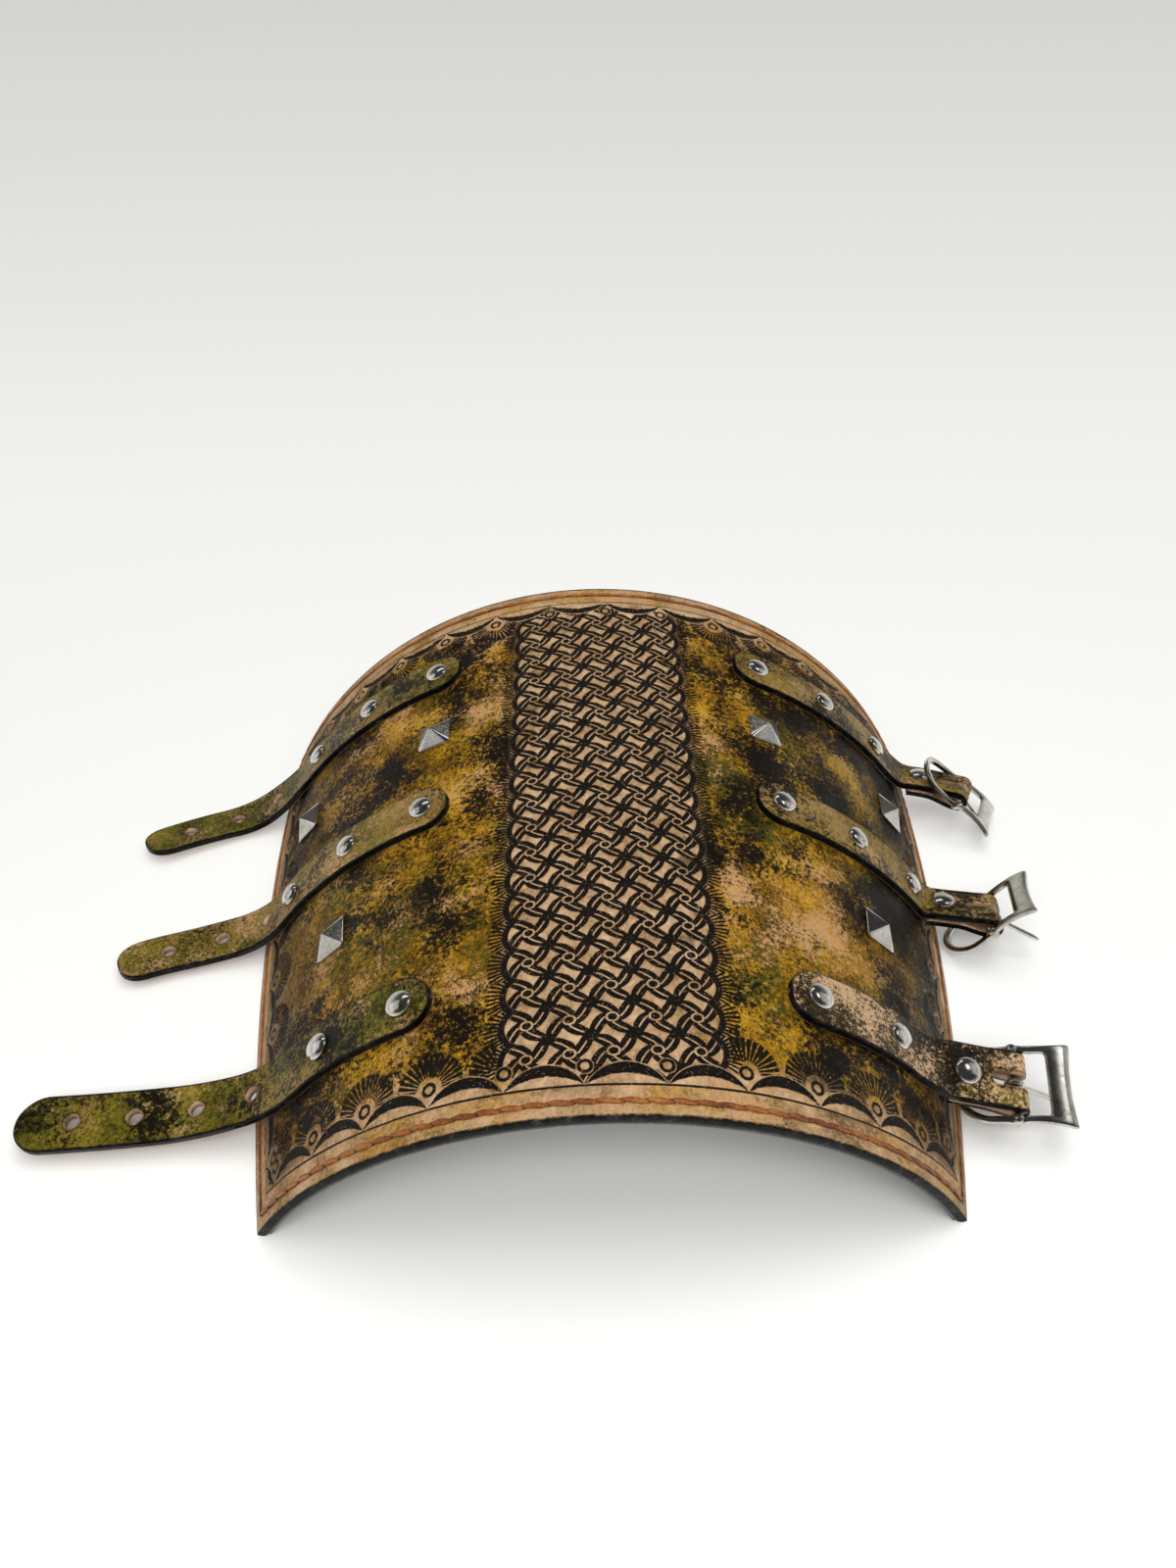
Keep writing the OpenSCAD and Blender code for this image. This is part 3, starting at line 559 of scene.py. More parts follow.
# Stitching: one thick waxed thread, rust orange, saddle stitched by hand round all four edges in a shallow
# groove. Each stitch is a plump slanting spindle that dips into its holes, with painted shade on its ends
# there.
STITCH_LEN, STITCH_HALF_W, STITCH_RISE = 6.6, 0.95, 0.5
STITCH_DIP, STITCH_PLUMP, STITCH_SLANT, STITCH_OVER = 0.25, 0.42, 0.95, 0.12


def sleeve(rings, sides, closed):
    """Quads between neighbouring rings of points."""
    faces = []
    for i in range(rings if closed else rings - 1):
        a, b = i * sides, (i + 1) % rings * sides
        faces += [[a + q, a + (q + 1) % sides, b + (q + 1) % sides, b + q] for q in range(sides)]
    return faces


def stitch_path():
    """Closed path in (angle, y) a fixed distance inside the four edges."""
    f = np.linspace(-1, 1, 200)[:-1]
    t = np.concatenate([f, 0 * f + 1, -f, 0 * f - 1])
    v = np.concatenate([0 * f, (f + 1) / 2, 0 * f + 1, (1 - f) / 2])
    y0 = along(v, 0)
    y = along(v, t) * (1 - 2 * STITCH_INSET / LENGTH)
    return t * (1 - STITCH_INSET / (radius_at(y0) * edge_angle(y0))) * edge_angle(y), y


angle, y = stitch_path()
ground = skin(angle, y, 0)
step = np.linalg.norm(np.roll(ground, -1, 0) - ground, axis=1)
travel = np.r_[0, np.cumsum(step)]
stitches = int(travel[-1] / STITCH_LEN)
path_a, path_y = np.r_[angle, angle[0]], np.r_[y, y[0]]
points, faces, tone = [], [], []
RINGS, SIDES = 9, 8
for n in range(stitches):
    start = travel[-1] * n / stitches
    f = np.linspace(0, 1, RINGS)
    d = (start + travel[-1] / stitches * ((1 + 2 * STITCH_OVER) * f - STITCH_OVER)) % travel[-1]
    a, yy = np.interp(d, travel, path_a), np.interp(d, travel, path_y)
    plump = np.sin(math.pi * (0.02 + 0.96 * f)) ** 0.6
    centre = skin(a, yy, STITCH_PLUMP * plump - STITCH_DIP)
    up = np.stack([np.sin(a), 0 * a, np.cos(a)], -1)
    run = np.gradient(centre, axis=0)
    aside = np.cross(run, up)
    aside /= np.linalg.norm(aside, axis=1)[:, None]
    centre = centre + aside * (STITCH_SLANT * (f - 0.5))[:, None]
    base = len(points)
    for i in range(RINGS):
        for q in range(SIDES):
            turn = 2 * math.pi * q / SIDES
            strand = 1 + 0.12 * math.cos(3 * turn + 9 * f[i])
            points.append(
                centre[i] + aside[i] * math.cos(turn) * STITCH_HALF_W * plump[i] * strand
                + up[i] * math.sin(turn) * STITCH_RISE * (0.35 + 0.65 * plump[i]) * strand
            )
            tone.append(f[i])
    ring = range(SIDES)
    faces += [[base + q for q in quad] for quad in sleeve(RINGS, SIDES, False)]
    faces += [[base + q for q in ring][::-1], [base + (RINGS - 1) * SIDES + q for q in ring]]
thread, shader, add, link = new_material("Waxed_thread")
where = add("TexCoord").outputs["Object"]
rust = [(0.3, "4a2208"), (0.46, "824616"), (0.6, "a26024"), (0.78, "bd8346")]
fibres, level = sponged(add, where, rust, 60, 1500, 2)
# Painted shade: each stitch darkens towards both ends, where it sinks into its holes.
end = add("Attribute", attribute_name="tone").outputs["Fac"]
away = maths(add, "ABSOLUTE", maths(add, "SUBTRACT", end, 0.5))
link(mixed(add, span(add, away, 0.34, 0.5), fibres, srgb("3a1c0e")), "Base Color")
link(add("Bump", {"Height": level, "Strength": 0.5, "Distance": 0.0002}).outputs[0], "Normal")
shader.inputs["Roughness"].default_value = 0.45
piece("Saddle_stitches", points, faces, thread, "waxed_thread", ["border_thread"], "bracer", tone=tone)

# Straps: six lengths of 19 mm latigo leather with burnished black edges, riveted to the shell. Three have
# round punched holes and a shaped tip, and three are folded round a buckle's bar. Each is one mesh that lies
# on the shell and lifts off it.
STRAP_W, STRAP_T, STRAP_Y = 19, 2.6, [-74.5, 6.5, 81.5]
RIVET_FIRST, RIVET_PITCH, RIVET_COUNT, END_MARGIN, LIFT_OFF = 64, 32.5, [2, 3, 3], 10, 5.5
TIP_LEN, PUNCH_D, PUNCH_PITCH, PUNCH_MARGIN, PUNCH_COUNT = 10, 4.4, 20, 18.5, [4, 3, 3]
FOLD_RIVET, RETURN_MARGIN, SLOT_W, SLOT_LEN, WRAP_R, FOLD_GAP = 17.3, 5.2, 4.5, 9, 2.8, 0.3
CAP_R, ROUTE_STEP, LEG_STEPS, EDGE_ROUND = 4.5, 0.6, 6, 0.75
BEVEL = np.array([0, 0.07, 0.25, 0.55, 0.95])
TIP_HINGE, FOLD_HINGE, TIP_ZONE, FOLD_ZONE = [37.5, 20.5, 34.5], [5, 4, 5], [9, 7, 9], [4, 3, 4]
TIP_SHAPE, TIP_DARKNESS = [2.0, 2.3, 2.3], [0.04, -0.05, 0]
TIP_LEGS = [
    [[14, -0.6, 12.8, 9.3], [20, 27.2, -5.8, -6.2], [25, 16.8, -1.2, 5.3], [47, -0.5, 4.4, 1.5]],
    [[9, 12.3, -3.5, -1.9], [16, 29.6, -2.8, 0], [22, 11.2, -6.7, -2.1], [22, -1, -8, -1]],
    [[10, 2.9, -9.2, -7.2], [18, 14.4, -8.4, -0.3], [20, 36.8, -11.4, -5.6], [35, 0, -10, -1.9]],
]
FOLD_LEGS = [
    [[12.7, 15.7, 4.9, 3.6], [5.4, 17.6, 0, 12.9], [9.6, 0, 0.6, 0], [12.5, 2.9, 0.2, 0]],
    [[4.5, 23.8, -11.9, -9.6], [1.9, 31.9, 0, -5.3], [9.6, 0, 2.6, 0], [12.5, 0.4, 1.6, 0]],
    [[12.2, 13, -16.4, -12.5], [5.2, 38.6, -1.9, -7.3], [9.6, 0, -10.8, 0], [12.5, 2.8, 0, 0]],
]
KEYS = ["wrist", "middle", "elbow"]
MIRROR = np.array([-1, 1, 1])


def heading(slope, turn):
    """Direction at a slope above level and a turn from the x axis."""
    a, h = math.radians(slope), math.radians(turn)
    return np.array([math.cos(a) * math.cos(h), math.cos(a) * math.sin(h), math.sin(a)])


def axes_of(station):
    """Forward, across and normal of a station [place, slope, heading, roll]."""
    ahead = heading(station[1], station[2])
    h, roll = math.radians(station[2]), math.radians(station[3])
    level = np.array([-math.sin(h), math.cos(h), 0])
    wide = math.cos(roll) * level + math.sin(roll) * np.cross(ahead, level)
    return ahead, wide, np.cross(ahead, wide)


def seat(s, y):
    """Forward, across and outward directions on the shell."""
    a = s / radius_at(y)
    dr, dz = (radius_at(y + 1) - radius_at(y - 1)) / 2, (axis_z(y + 1) - axis_z(y - 1)) / 2
    wide = np.array([dr * math.sin(a), 1, dz + dr * math.cos(a)])
    wide /= np.linalg.norm(wide)
    out = np.cross([math.cos(a), 0, -math.sin(a)], wide)
    out /= np.linalg.norm(out)
    return np.cross(wide, out), wide, out


def lift_s(k):
    return RIVET_FIRST + (RIVET_COUNT[k] - 1) * RIVET_PITCH + LIFT_OFF


def lift_station(k):
    """Station at which a strap leaves the shell."""
    y = STRAP_Y[k]
    ahead, wide, out = seat(lift_s(k), y)
    turn = math.atan2(ahead[1], ahead[0])
    level = np.array([-math.sin(turn), math.cos(turn), 0])
    roll = math.atan2(wide @ np.cross(ahead, level), wide @ level)
    place = skin(lift_s(k) / radius_at(y), y, SEAT_GAP + STRAP_T / 2)
    return [place, math.degrees(math.asin(ahead[2])), math.degrees(turn), math.degrees(roll)]


def station_at(k, legs, d):
    """Station at a distance d along the legs [length, slope, turn and roll gained]."""
    st = lift_station(k)
    for i, leg in enumerate(legs):
        run = d if i == len(legs) - 1 else min(d, leg[0])
        share, place = run / leg[0], st[0]
        for p in range(LEG_STEPS):
            f = share * (p + 0.5) / LEG_STEPS
            place = place + heading(st[1] + leg[1] * f, st[2] + leg[2] * f) * run / LEG_STEPS
        st = [place] + [st[j] + leg[j] * share for j in (1, 2, 3)]
        d -= run
        if d <= 1e-9:
            break
    return st


def route_len(legs):
    return sum(leg[0] for leg in legs)


def bar_station(k):
    """Station of the buckle's bar, below the end of the strap's middle line."""
    st = station_at(k, FOLD_LEGS[k], route_len(FOLD_LEGS[k]))
    return [st[0] - axes_of(st)[2] * WRAP_R] + st[1:]


def strap_route(k, legs, folded):
    """Rows [distance, place, across, normal] of a strap's middle line; distance 0 is where it lifts off."""
    rows, end = [], route_len(legs)
    start = RIVET_FIRST - END_MARGIN - lift_s(k)
    for d in np.arange(start, -ROUTE_STEP / 2, ROUTE_STEP):
        s, y = lift_s(k) + d, STRAP_Y[k]
        _, wide, out = seat(s, y)
        rows.append(np.r_[d, skin(s / radius_at(y), y, SEAT_GAP + STRAP_T / 2), wide, out])
    for d in np.linspace(0, end, int(end / ROUTE_STEP)):
        st = station_at(k, legs, d)
        _, wide, out = axes_of(st)
        rows.append(np.r_[d, st[0], wide, out])
    if folded:
        bar = bar_station(k)
        ahead, wide, out = axes_of(bar)
        for q in np.linspace(0, math.pi, 22)[1:]:
            n = ahead * math.sin(q) + out * math.cos(q)
            rows.append(np.r_[end + q * WRAP_R, bar[0] + WRAP_R * n, wide, n])
        back = FOLD_RIVET + RETURN_MARGIN
        for e in np.linspace(0, back, 36)[1:]:
            st = station_at(k, legs, end - e)
            _, wide, out = axes_of(st)
            f = min(e / (FOLD_RIVET - CAP_R), 1)
            drop = 2 * WRAP_R + (STRAP_T + FOLD_GAP - 2 * WRAP_R) * f * f * (3 - 2 * f)
            rows.append(np.r_[end + math.pi * WRAP_R + e, st[0] - out * drop, wide, -out])
    rows = np.array(rows)
    soft = rows.copy()
    count, weights = len(rows), (0.8, 0.45, 0.2)
    for shift, weight in enumerate(weights, 1):
        soft[3:-3] += weight * (rows[3 - shift:count - 3 - shift] + rows[3 + shift:count - 3 + shift])
    soft[3:-3] /= 1 + 2 * sum(weights)
    soft[:, 0] = rows[:, 0]
    return soft


def strap_mesh(rows, holes, tip, mirrored, seed, darkness=0.0):
    """Points, faces and attributes of a strap; holes are (from, to, radius) on its middle line."""
    first, last = rows[0, 0], rows[-1, 0]
    half = STRAP_W / 2
    inner = first + half * (1 - np.cos(np.linspace(0.07, math.pi / 2, 16)))
    stop = last - TIP_LEN if tip else last - 0.9
    body = np.linspace(first + half, stop, int((stop - first - half) / 0.55))
    if tip:
        outer = last - TIP_LEN * (1 - np.sin(np.linspace(0, math.pi / 2 - 0.04, 16)[1:]))
    else:
        outer = last - np.array([0.5, 0.2, 0])
    d = np.concatenate([inner, body[1:], outer])
    near_in = np.clip((d - first) / half, 0, 1)
    share = np.sqrt(1 - (1 - near_in) ** 2)
    if tip:
        near_tip = np.clip((last - d) / TIP_LEN, 0, 1)
        share = share * (1 - (1 - near_tip) ** tip) ** (1 / tip)
    x = np.concatenate([BEVEL - half, np.linspace(-half + 1.5, half - 1.5, 30), half - BEVEL[::-1]])
    count = len(x)
    dd = np.repeat(d[:, None], count, 1)
    ww = share[:, None] * x
    removed = np.zeros((len(d) - 1, count - 1), bool)
    rim = np.full(dd.shape, 9.0)
    for lo, hi, radius in holes:
        mid_d, mid_w = (dd[1:, 1:] + dd[:-1, :-1]) / 2, (ww[1:, 1:] + ww[:-1, :-1]) / 2
        removed |= np.hypot(mid_d - np.clip(mid_d, lo, hi), mid_w) < radius
    keep = ~removed
    touch_keep, touch_cut = np.zeros(dd.shape, bool), np.zeros(dd.shape, bool)
    for i, j in ((0, 0), (0, 1), (1, 0), (1, 1)):
        touch_keep[i:len(d) - 1 + i, j:count - 1 + j] |= keep
        touch_cut[i:len(d) - 1 + i, j:count - 1 + j] |= removed
    lip = touch_keep & touch_cut
    for lo, hi, radius in holes:
        c = np.clip(dd, lo, hi)
        off = np.hypot(dd - c, ww) + 1e-9
        rim = np.minimum(rim, np.abs(off - radius))
        snap = lip & (np.abs(off - radius) < 1.2)
        dd = np.where(snap, c + (dd - c) * radius / off, dd)
        ww = np.where(snap, ww * radius / off, ww)
    outline = np.minimum(share[:, None] * half - np.abs(ww), np.minimum(dd - first, last - dd))
    short = EDGE_ROUND - np.clip(outline, 0, EDGE_ROUND)
    lower = EDGE_ROUND - np.sqrt(np.maximum(EDGE_ROUND ** 2 - short ** 2, 0))
    lower = lower + 0.25 * (1 - ramp(rim, 0, 0.5)) * (len(holes) > 0)
    swell = 0.1 * (cloud(dd / 6, ww / 6, seed) - 0.5)
    crease = 0.1 * (1 - ramp(np.abs(outline - 2.0), 0.12, 0.4)) * (outline > 0)

    def place(dist, wide, height):
        at = np.stack([np.interp(dist, rows[:, 0], rows[:, i]) for i in range(1, 10)], -1)
        p = at[..., 0:3] + wide[..., None] * at[..., 3:6] + height[..., None] * at[..., 6:9]
        return p * (MIRROR if mirrored else 1)

    top = place(dd, ww, STRAP_T / 2 - 0.03 - lower - crease + np.minimum(swell, 0))
    under = place(dd, ww, -STRAP_T / 2 + 0.4 * lower)
    n_rows = len(d)
    walls = []
    for side in (1, -1):
        for height in (0.35, -0.35):
            wide = side * share * half
            walls.append(place(d, wide, np.full(n_rows, height * STRAP_T)))
    size = n_rows * count
    points = np.concatenate([top.reshape(-1, 3), under.reshape(-1, 3)] + walls)
    index = np.arange(size).reshape(n_rows, count)
    wall = 2 * size + np.arange(4 * n_rows).reshape(4, n_rows)

    def loop(i):
        """Indices round the strap at a row: the top, one wall, the underside and the other wall."""
        return [*index[i], wall[0, i], wall[1, i], *(size + index[i, ::-1]), wall[3, i], wall[2, i]]

    def rung(i, side, upper):
        """Indices down one wall at a row."""
        return [index[i, side], wall[upper, i], wall[upper + 1, i], size + index[i, side]]

    faces = [loop(0), loop(n_rows - 1)[::-1]]
    for i, j in zip(*np.nonzero(keep)):
        quad = [index[i, j], index[i, j + 1], index[i + 1, j + 1], index[i + 1, j]]
        faces += [quad, [q + size for q in quad][::-1]]
    for i in range(n_rows - 1):
        here, ahead = rung(i, -1, 0), rung(i + 1, -1, 0)
        faces += [(here[m], here[m + 1], ahead[m + 1], ahead[m]) for m in range(3)]
        here, ahead = rung(i, 0, 2), rung(i + 1, 0, 2)
        faces += [(here[m + 1], here[m], ahead[m], ahead[m + 1]) for m in range(3)]
    border_edges = [(index[i, j], index[i, j + 1]) for i in range(1, n_rows - 1) for j in range(count - 1)
                    if keep[i - 1, j] != keep[i, j]]
    border_edges += [(index[i, j], index[i + 1, j]) for i in range(n_rows - 1) for j in range(1, count - 1)
                     if keep[i, j - 1] != keep[i, j]]
    faces += [(a, b, b + size, a + size) for a, b in border_edges]
    flat_rim, flat_out = rim.ravel(), outline.ravel()
    black = 1 - ramp(flat_out + 0.5 * (cloud(dd.ravel() / 1.5, ww.ravel() / 1.5, seed + 3) - 0.5), 0.5, 0.9)
    wall_count = 4 * n_rows
    rim_tan = 1 - ramp(flat_rim, 0.25, 0.6)
    ink = 0.75 * (1 - ramp(np.abs(flat_rim - 0.75), 0.15, 0.35))
    used = np.zeros(len(points), bool)
    used[np.array([q for f in faces for q in f])] = True
    renumber = np.cumsum(used) - 1
    faces = [[int(renumber[q]) for q in f] for f in faces]
    values = {
        "edge": np.r_[black, 0 * black, np.ones(wall_count)],
        "flesh": np.r_[0.9 * rim_tan * mirrored, np.ones(size), np.zeros(wall_count)],
        "ink": np.r_[ink, np.zeros(size + wall_count)],
        "mottle": np.r_[np.ones(size), np.zeros(size + wall_count)],
        "darkness": np.full(len(points), darkness),
    }
    return points[used], faces, {key: value[used] for key, value in values.items()}


tip_leather = leather(
    "Olive_strap_leather",
    [(0.3, "1c1c04"), (0.42, "3a3908"), (0.5, "54500e"), (0.6, "716318"), (0.72, "8c772a"), (0.85, "a48c46")],
    [
        ("8a6c3c", 0.52, 0.6, 32, 700, -1),
        ("ad8a5e", 0.6, 0.65, 45, 800, -1),
        ("0f0d05", 0.54, 0.6, 40, 600, 1),
    ],
    0.7, 0.42,
)
fold_leather = leather(
    "Brown_olive_strap_leather",
    [(0.3, "2c2408"), (0.42, "4e400e"), (0.5, "685414"), (0.6, "866c1c"), (0.72, "a08228"), (0.85, "b49644")],
    [
        ("8f7444", 0.5, 0.58, 32, 700, 0),
        ("bb976a", 0.58, 0.63, 45, 800, 0),
        ("120e06", 0.51, 0.56, 42, 600, 0),
    ],
    1.3, 0.42,
)
dark_leather = leather(
    "Dark_strap_leather",
    [(0.3, "080605"), (0.5, "17120d"), (0.65, "33291b"), (0.8, "5a4a30")],
    [("6d6018", 0.58, 0.63, 40, 700, 0), ("bf9e78", 0.53, 0.56, 38, 750, 0)], 1.9, 0.4,
)
for k, key in enumerate(KEYS):
    rows = strap_route(k, TIP_LEGS[k], False)
    end = route_len(TIP_LEGS[k])
    centres = [end - PUNCH_MARGIN - i * PUNCH_PITCH for i in range(PUNCH_COUNT[k])]
    holes = [(c, c, PUNCH_D / 2) for c in centres]
    points, faces, values = strap_mesh(rows, holes, TIP_SHAPE[k], True, 80 + k, TIP_DARKNESS[k])
    strap = piece(
        key.capitalize() + "_tip_strap", points, faces, tip_leather, "olive_leather",
        [key + "_tip_strap", key + "_tail"], **values
    )
    st = station_at(k, TIP_LEGS[k], TIP_HINGE[k])
    reach = axes_of(st)[0] * TIP_ZONE[k]
    start, stop = (st[0] - reach) * MIRROR * MM, (st[0] + reach) * MIRROR * MM
    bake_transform(strap)
    rows = strap_route(k, FOLD_LEGS[k], True)
    end = route_len(FOLD_LEGS[k])
    slot_r = SLOT_W / 2
    slot = (end - SLOT_LEN + slot_r, end + math.pi * WRAP_R + SLOT_LEN - slot_r, slot_r)
    points, faces, values = strap_mesh(rows, [slot], 0, False, 90 + k)
    look, look_slot = (dark_leather, "dark_leather") if k == 0 else (fold_leather, "olive_leather")
    strap = piece(
        key.capitalize() + "_buckle_strap", points, faces, look, look_slot,
        [key + "_buckle_strap", key + "_fold"], **values
    )
    st = station_at(k, FOLD_LEGS[k], FOLD_HINGE[k])
    reach = axes_of(st)[0] * FOLD_ZONE[k]
    (st[0] - reach) * MM
    (st[0] + reach) * MM
    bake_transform(strap)

# Rivets: double-cap rivets of nickel-plated steel. A domed cap with a rolled rim is pressed on a post that
# passes through strap, shell and lining, or through the fold, and ends in a flat cap of its own.
CAP_RIM = 0.42
CAP_DOME_R, CAP_DOME_H = CAP_R - 0.04, 1.98
CAP_PROFILE = [(0, 0), (CAP_R - 0.6, 0), (CAP_R - 0.15, 0.05), (CAP_R, 0.2), (CAP_R, 0.4)]
CAP_PROFILE += [
    (CAP_DOME_R * math.cos(q), CAP_RIM + CAP_DOME_H * math.sin(q)) for q in np.linspace(0.12, math.pi / 2, 16)
]


def nickel_material(name, tint, rough):
    """Polished nickel plate with fine scratches and a few dull spots."""
    material, shader, add, link = new_material(name)
    where = add("TexCoord").outputs["Object"]
    plate = [(0.2, "77736b"), (0.36, tint), (0.8, "dddbd6")]
    link(sponged(add, where, plate, 120, 900, 4)[0], "Base Color")
    scratch = noisy(add, where, 500.0, 5.0, 0.7)
    link(span(add, scratch, 0.35, 0.7, rough, rough + 0.1), "Roughness")
    link(add("Bump", {"Height": scratch, "Strength": 0.015, "Distance": 0.00002}).outputs[0], "Normal")
    shader.inputs["Metallic"].default_value = 1.0
    return material


def turned(profile, place, axes, sides=40, square=2):
    """Points and faces of a profile of (radius, height) turned about the normal at a place; a large value of
    square makes each ring a square with rounded corners."""
    ahead, wide, out = axes
    points, faces = [], []
    for r, h in profile:
        if r < 1e-6:
            points.append(place + out * h)
            continue
        for q in range(sides):
            c, d = math.cos(2 * math.pi * q / sides), math.sin(2 * math.pi * q / sides)
            w = r / (abs(c) ** square + abs(d) ** square) ** (1 / square)
            points.append(place + ahead * w * c + wide * w * d + out * h)
    at, rings = 0, []
    for r, _ in profile:
        size = 1 if r < 1e-6 else sides
        rings.append(list(range(at, at + size)))
        at += size
    for a, b in zip(rings, rings[1:]):
        for q in range(sides):
            quad = [a[q % len(a)], a[(q + 1) % len(a)], b[(q + 1) % len(b)], b[q % len(b)]]
            faces.append(list(dict.fromkeys(quad)))
    return points, faces


def joined(parts):
    """Points and faces of several meshes as one."""
    points, faces = [], []
    for p, f in parts:
        base = len(points)
        points += list(p)
        faces += [[base + q for q in face] for face in f]
    return points, faces


nickel = nickel_material("Polished_nickel", "c4c1b9", 0.13)
cast_nickel = nickel_material("Cast_nickel", "b3afa3", 0.16)
for k, key in enumerate(KEYS):
    for side, mirror in (("tip", MIRROR), ("buckle", 1)):
        parts = []
        for i in range(RIVET_COUNT[k]):
            s, y = RIVET_FIRST + i * RIVET_PITCH, STRAP_Y[k]
            place = skin(s / radius_at(y), y, STRAP_T + 2 * SEAT_GAP)
            axes = [a * mirror for a in seat(s, y)]
            parts.append(turned(CAP_PROFILE, place * mirror, axes))
        name = f"{key.capitalize()}_{side}_rivet_caps"
        piece(name, *joined(parts), nickel, "nickel", [f"{key}_{side}_caps"], "bracer")
    st = station_at(k, FOLD_LEGS[k], route_len(FOLD_LEGS[k]) - FOLD_RIVET)
    axes = axes_of(st)
    cap = turned(CAP_PROFILE, st[0] + axes[2] * (STRAP_T / 2 + SEAT_GAP), axes)
    name = f"{key.capitalize()}_fold_rivet_cap"
    piece(name, *cap, nickel, "nickel", [key + "_fold_cap"], key + "_buckle_fold")
    for node in (f"{key}_tip_posts", f"{key}_buckle_posts", f"{key}_fold_post"):
        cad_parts[node].data.materials.clear()
        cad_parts[node].data.materials.append(cast_nickel)

# Pyramid studs: six square pyramids on a low wall, pressed from sheet steel and plated with polished nickel.
# Each is held by two prongs that go through shell and lining and are clinched behind them.
STUD_HALF, STUD_WALL, STUD_H = 6.35, 1.0, 5.0
CLINCH_OUT, CLINCH_DEPTH, CLINCH_HALF = 4.1, 1.55, (1.35, 1.1, 0.25)
BOX_FACES = [[0, 1, 3, 2], [4, 6, 7, 5], [0, 4, 5, 1], [2, 3, 7, 6], [0, 2, 6, 4], [1, 5, 7, 3]]
STUD_PLACES = [(63, 46), (129, 44), (100, -31)]
STUD_TIP = STUD_H - 0.1
STUD_PROFILE = [(0, 0), (STUD_HALF - 0.1, 0)]
for inward, h in ((0, 0.1), (0, 0.2), (0, 0.8), (0, 0.9), (0.06, STUD_WALL), (0.2, STUD_WALL + 0.1)):
    STUD_PROFILE.append((STUD_HALF - inward, h))
for f in (0.06, 0.3, 0.6, 0.9, 0.96):
    STUD_PROFILE.append((STUD_HALF * (1 - f) - 0.02, STUD_WALL + (STUD_TIP - STUD_WALL) * f))
STUD_PROFILE += [(0.1, STUD_TIP - 0.03), (0, STUD_TIP)]
stud_parts = []
for s, y in STUD_PLACES:
    for mirror in (1, MIRROR):
        ahead, wide, out = seat(s, y)
        base = skin(s / radius_at(y), y, SEAT_GAP)
        points, faces = turned(STUD_PROFILE, base, (ahead, wide, out), 64, 24)
        stud_parts.append((np.array(points) * mirror, faces))
        for end in (-1, 1):
            mid = base + ahead * end * CLINCH_OUT - out * (LEATHER_T + CLINCH_DEPTH)
            half_l, half_w, half_t = CLINCH_HALF
            corners = [mid + ahead * a * half_l + wide * b * half_w + out * c * half_t
                       for a in (-1, 1) for b in (-1, 1) for c in (-1, 1)]
            stud_parts.append((np.array(corners) * mirror, BOX_FACES))
piece("Pyramid_studs", *joined(stud_parts), nickel, "nickel", ["pyramid_studs"], "bracer")

# Buckles: centre-bar buckles, cast and nickel plated, held by the strap that is folded round their bar. The
# square end has a wide flat bar, waisted and flared at its corners; the round end bellies down; a boss stands
# at each end of the centre bar. The prong is a wire bent to an eye round that bar.
FRAME_PITCH, PRONG_PITCH = [17, 43, -37.5], [-40, -68, -12]
BAR_R, BAR_OVER, FRAME_GAP, RAIL_W, FRAME_T = 1.2, 0.6, 20.4, 2.4, 2.3
SQUARE_LEN, END_BAR_W, ROUND_LEN, SQUARE_BOW, ROUND_BOW = 18, 8, 20, 34, 36
PRONG_D, PRONG_LEN, WIRE_GAP, PRONG_TAPER, PRONG_OVER = 1.9, 20, 0.12, 3.15, 0.95
SECTION_SHAPE, SECTION_SIDES = 0.6, 28
BOSS = [(0, -2.2), (1.1, -2.15), (1.7, -1.4), (1.7, -0.4), (1.7, 0.5), (1.7, 1.35), (1.45, 1.95)]
BOSS += [(1.15, 2.15), (0.85, 2.1), (0.62, 1.8), (0, 1.72)]


def tilted(axes, degrees):
    ahead, wide, out = axes
    c, s = math.cos(math.radians(degrees)), math.sin(math.radians(degrees))
    return ahead * c + out * s, wide, out * c - ahead * s


def frame_bow(u):
    """Height of the frame's middle line: the square end arches up and the round end hangs down."""
    half_square, half_round = SQUARE_LEN / 2, ROUND_LEN / 2
    up = np.sqrt(SQUARE_BOW ** 2 - (u - half_square) ** 2) - math.sqrt(SQUARE_BOW ** 2 - half_square ** 2)
    down = math.sqrt(ROUND_BOW ** 2 - half_round ** 2) - np.sqrt(ROUND_BOW ** 2 - (u + half_round) ** 2)
    return np.where(u > 0, up, down)


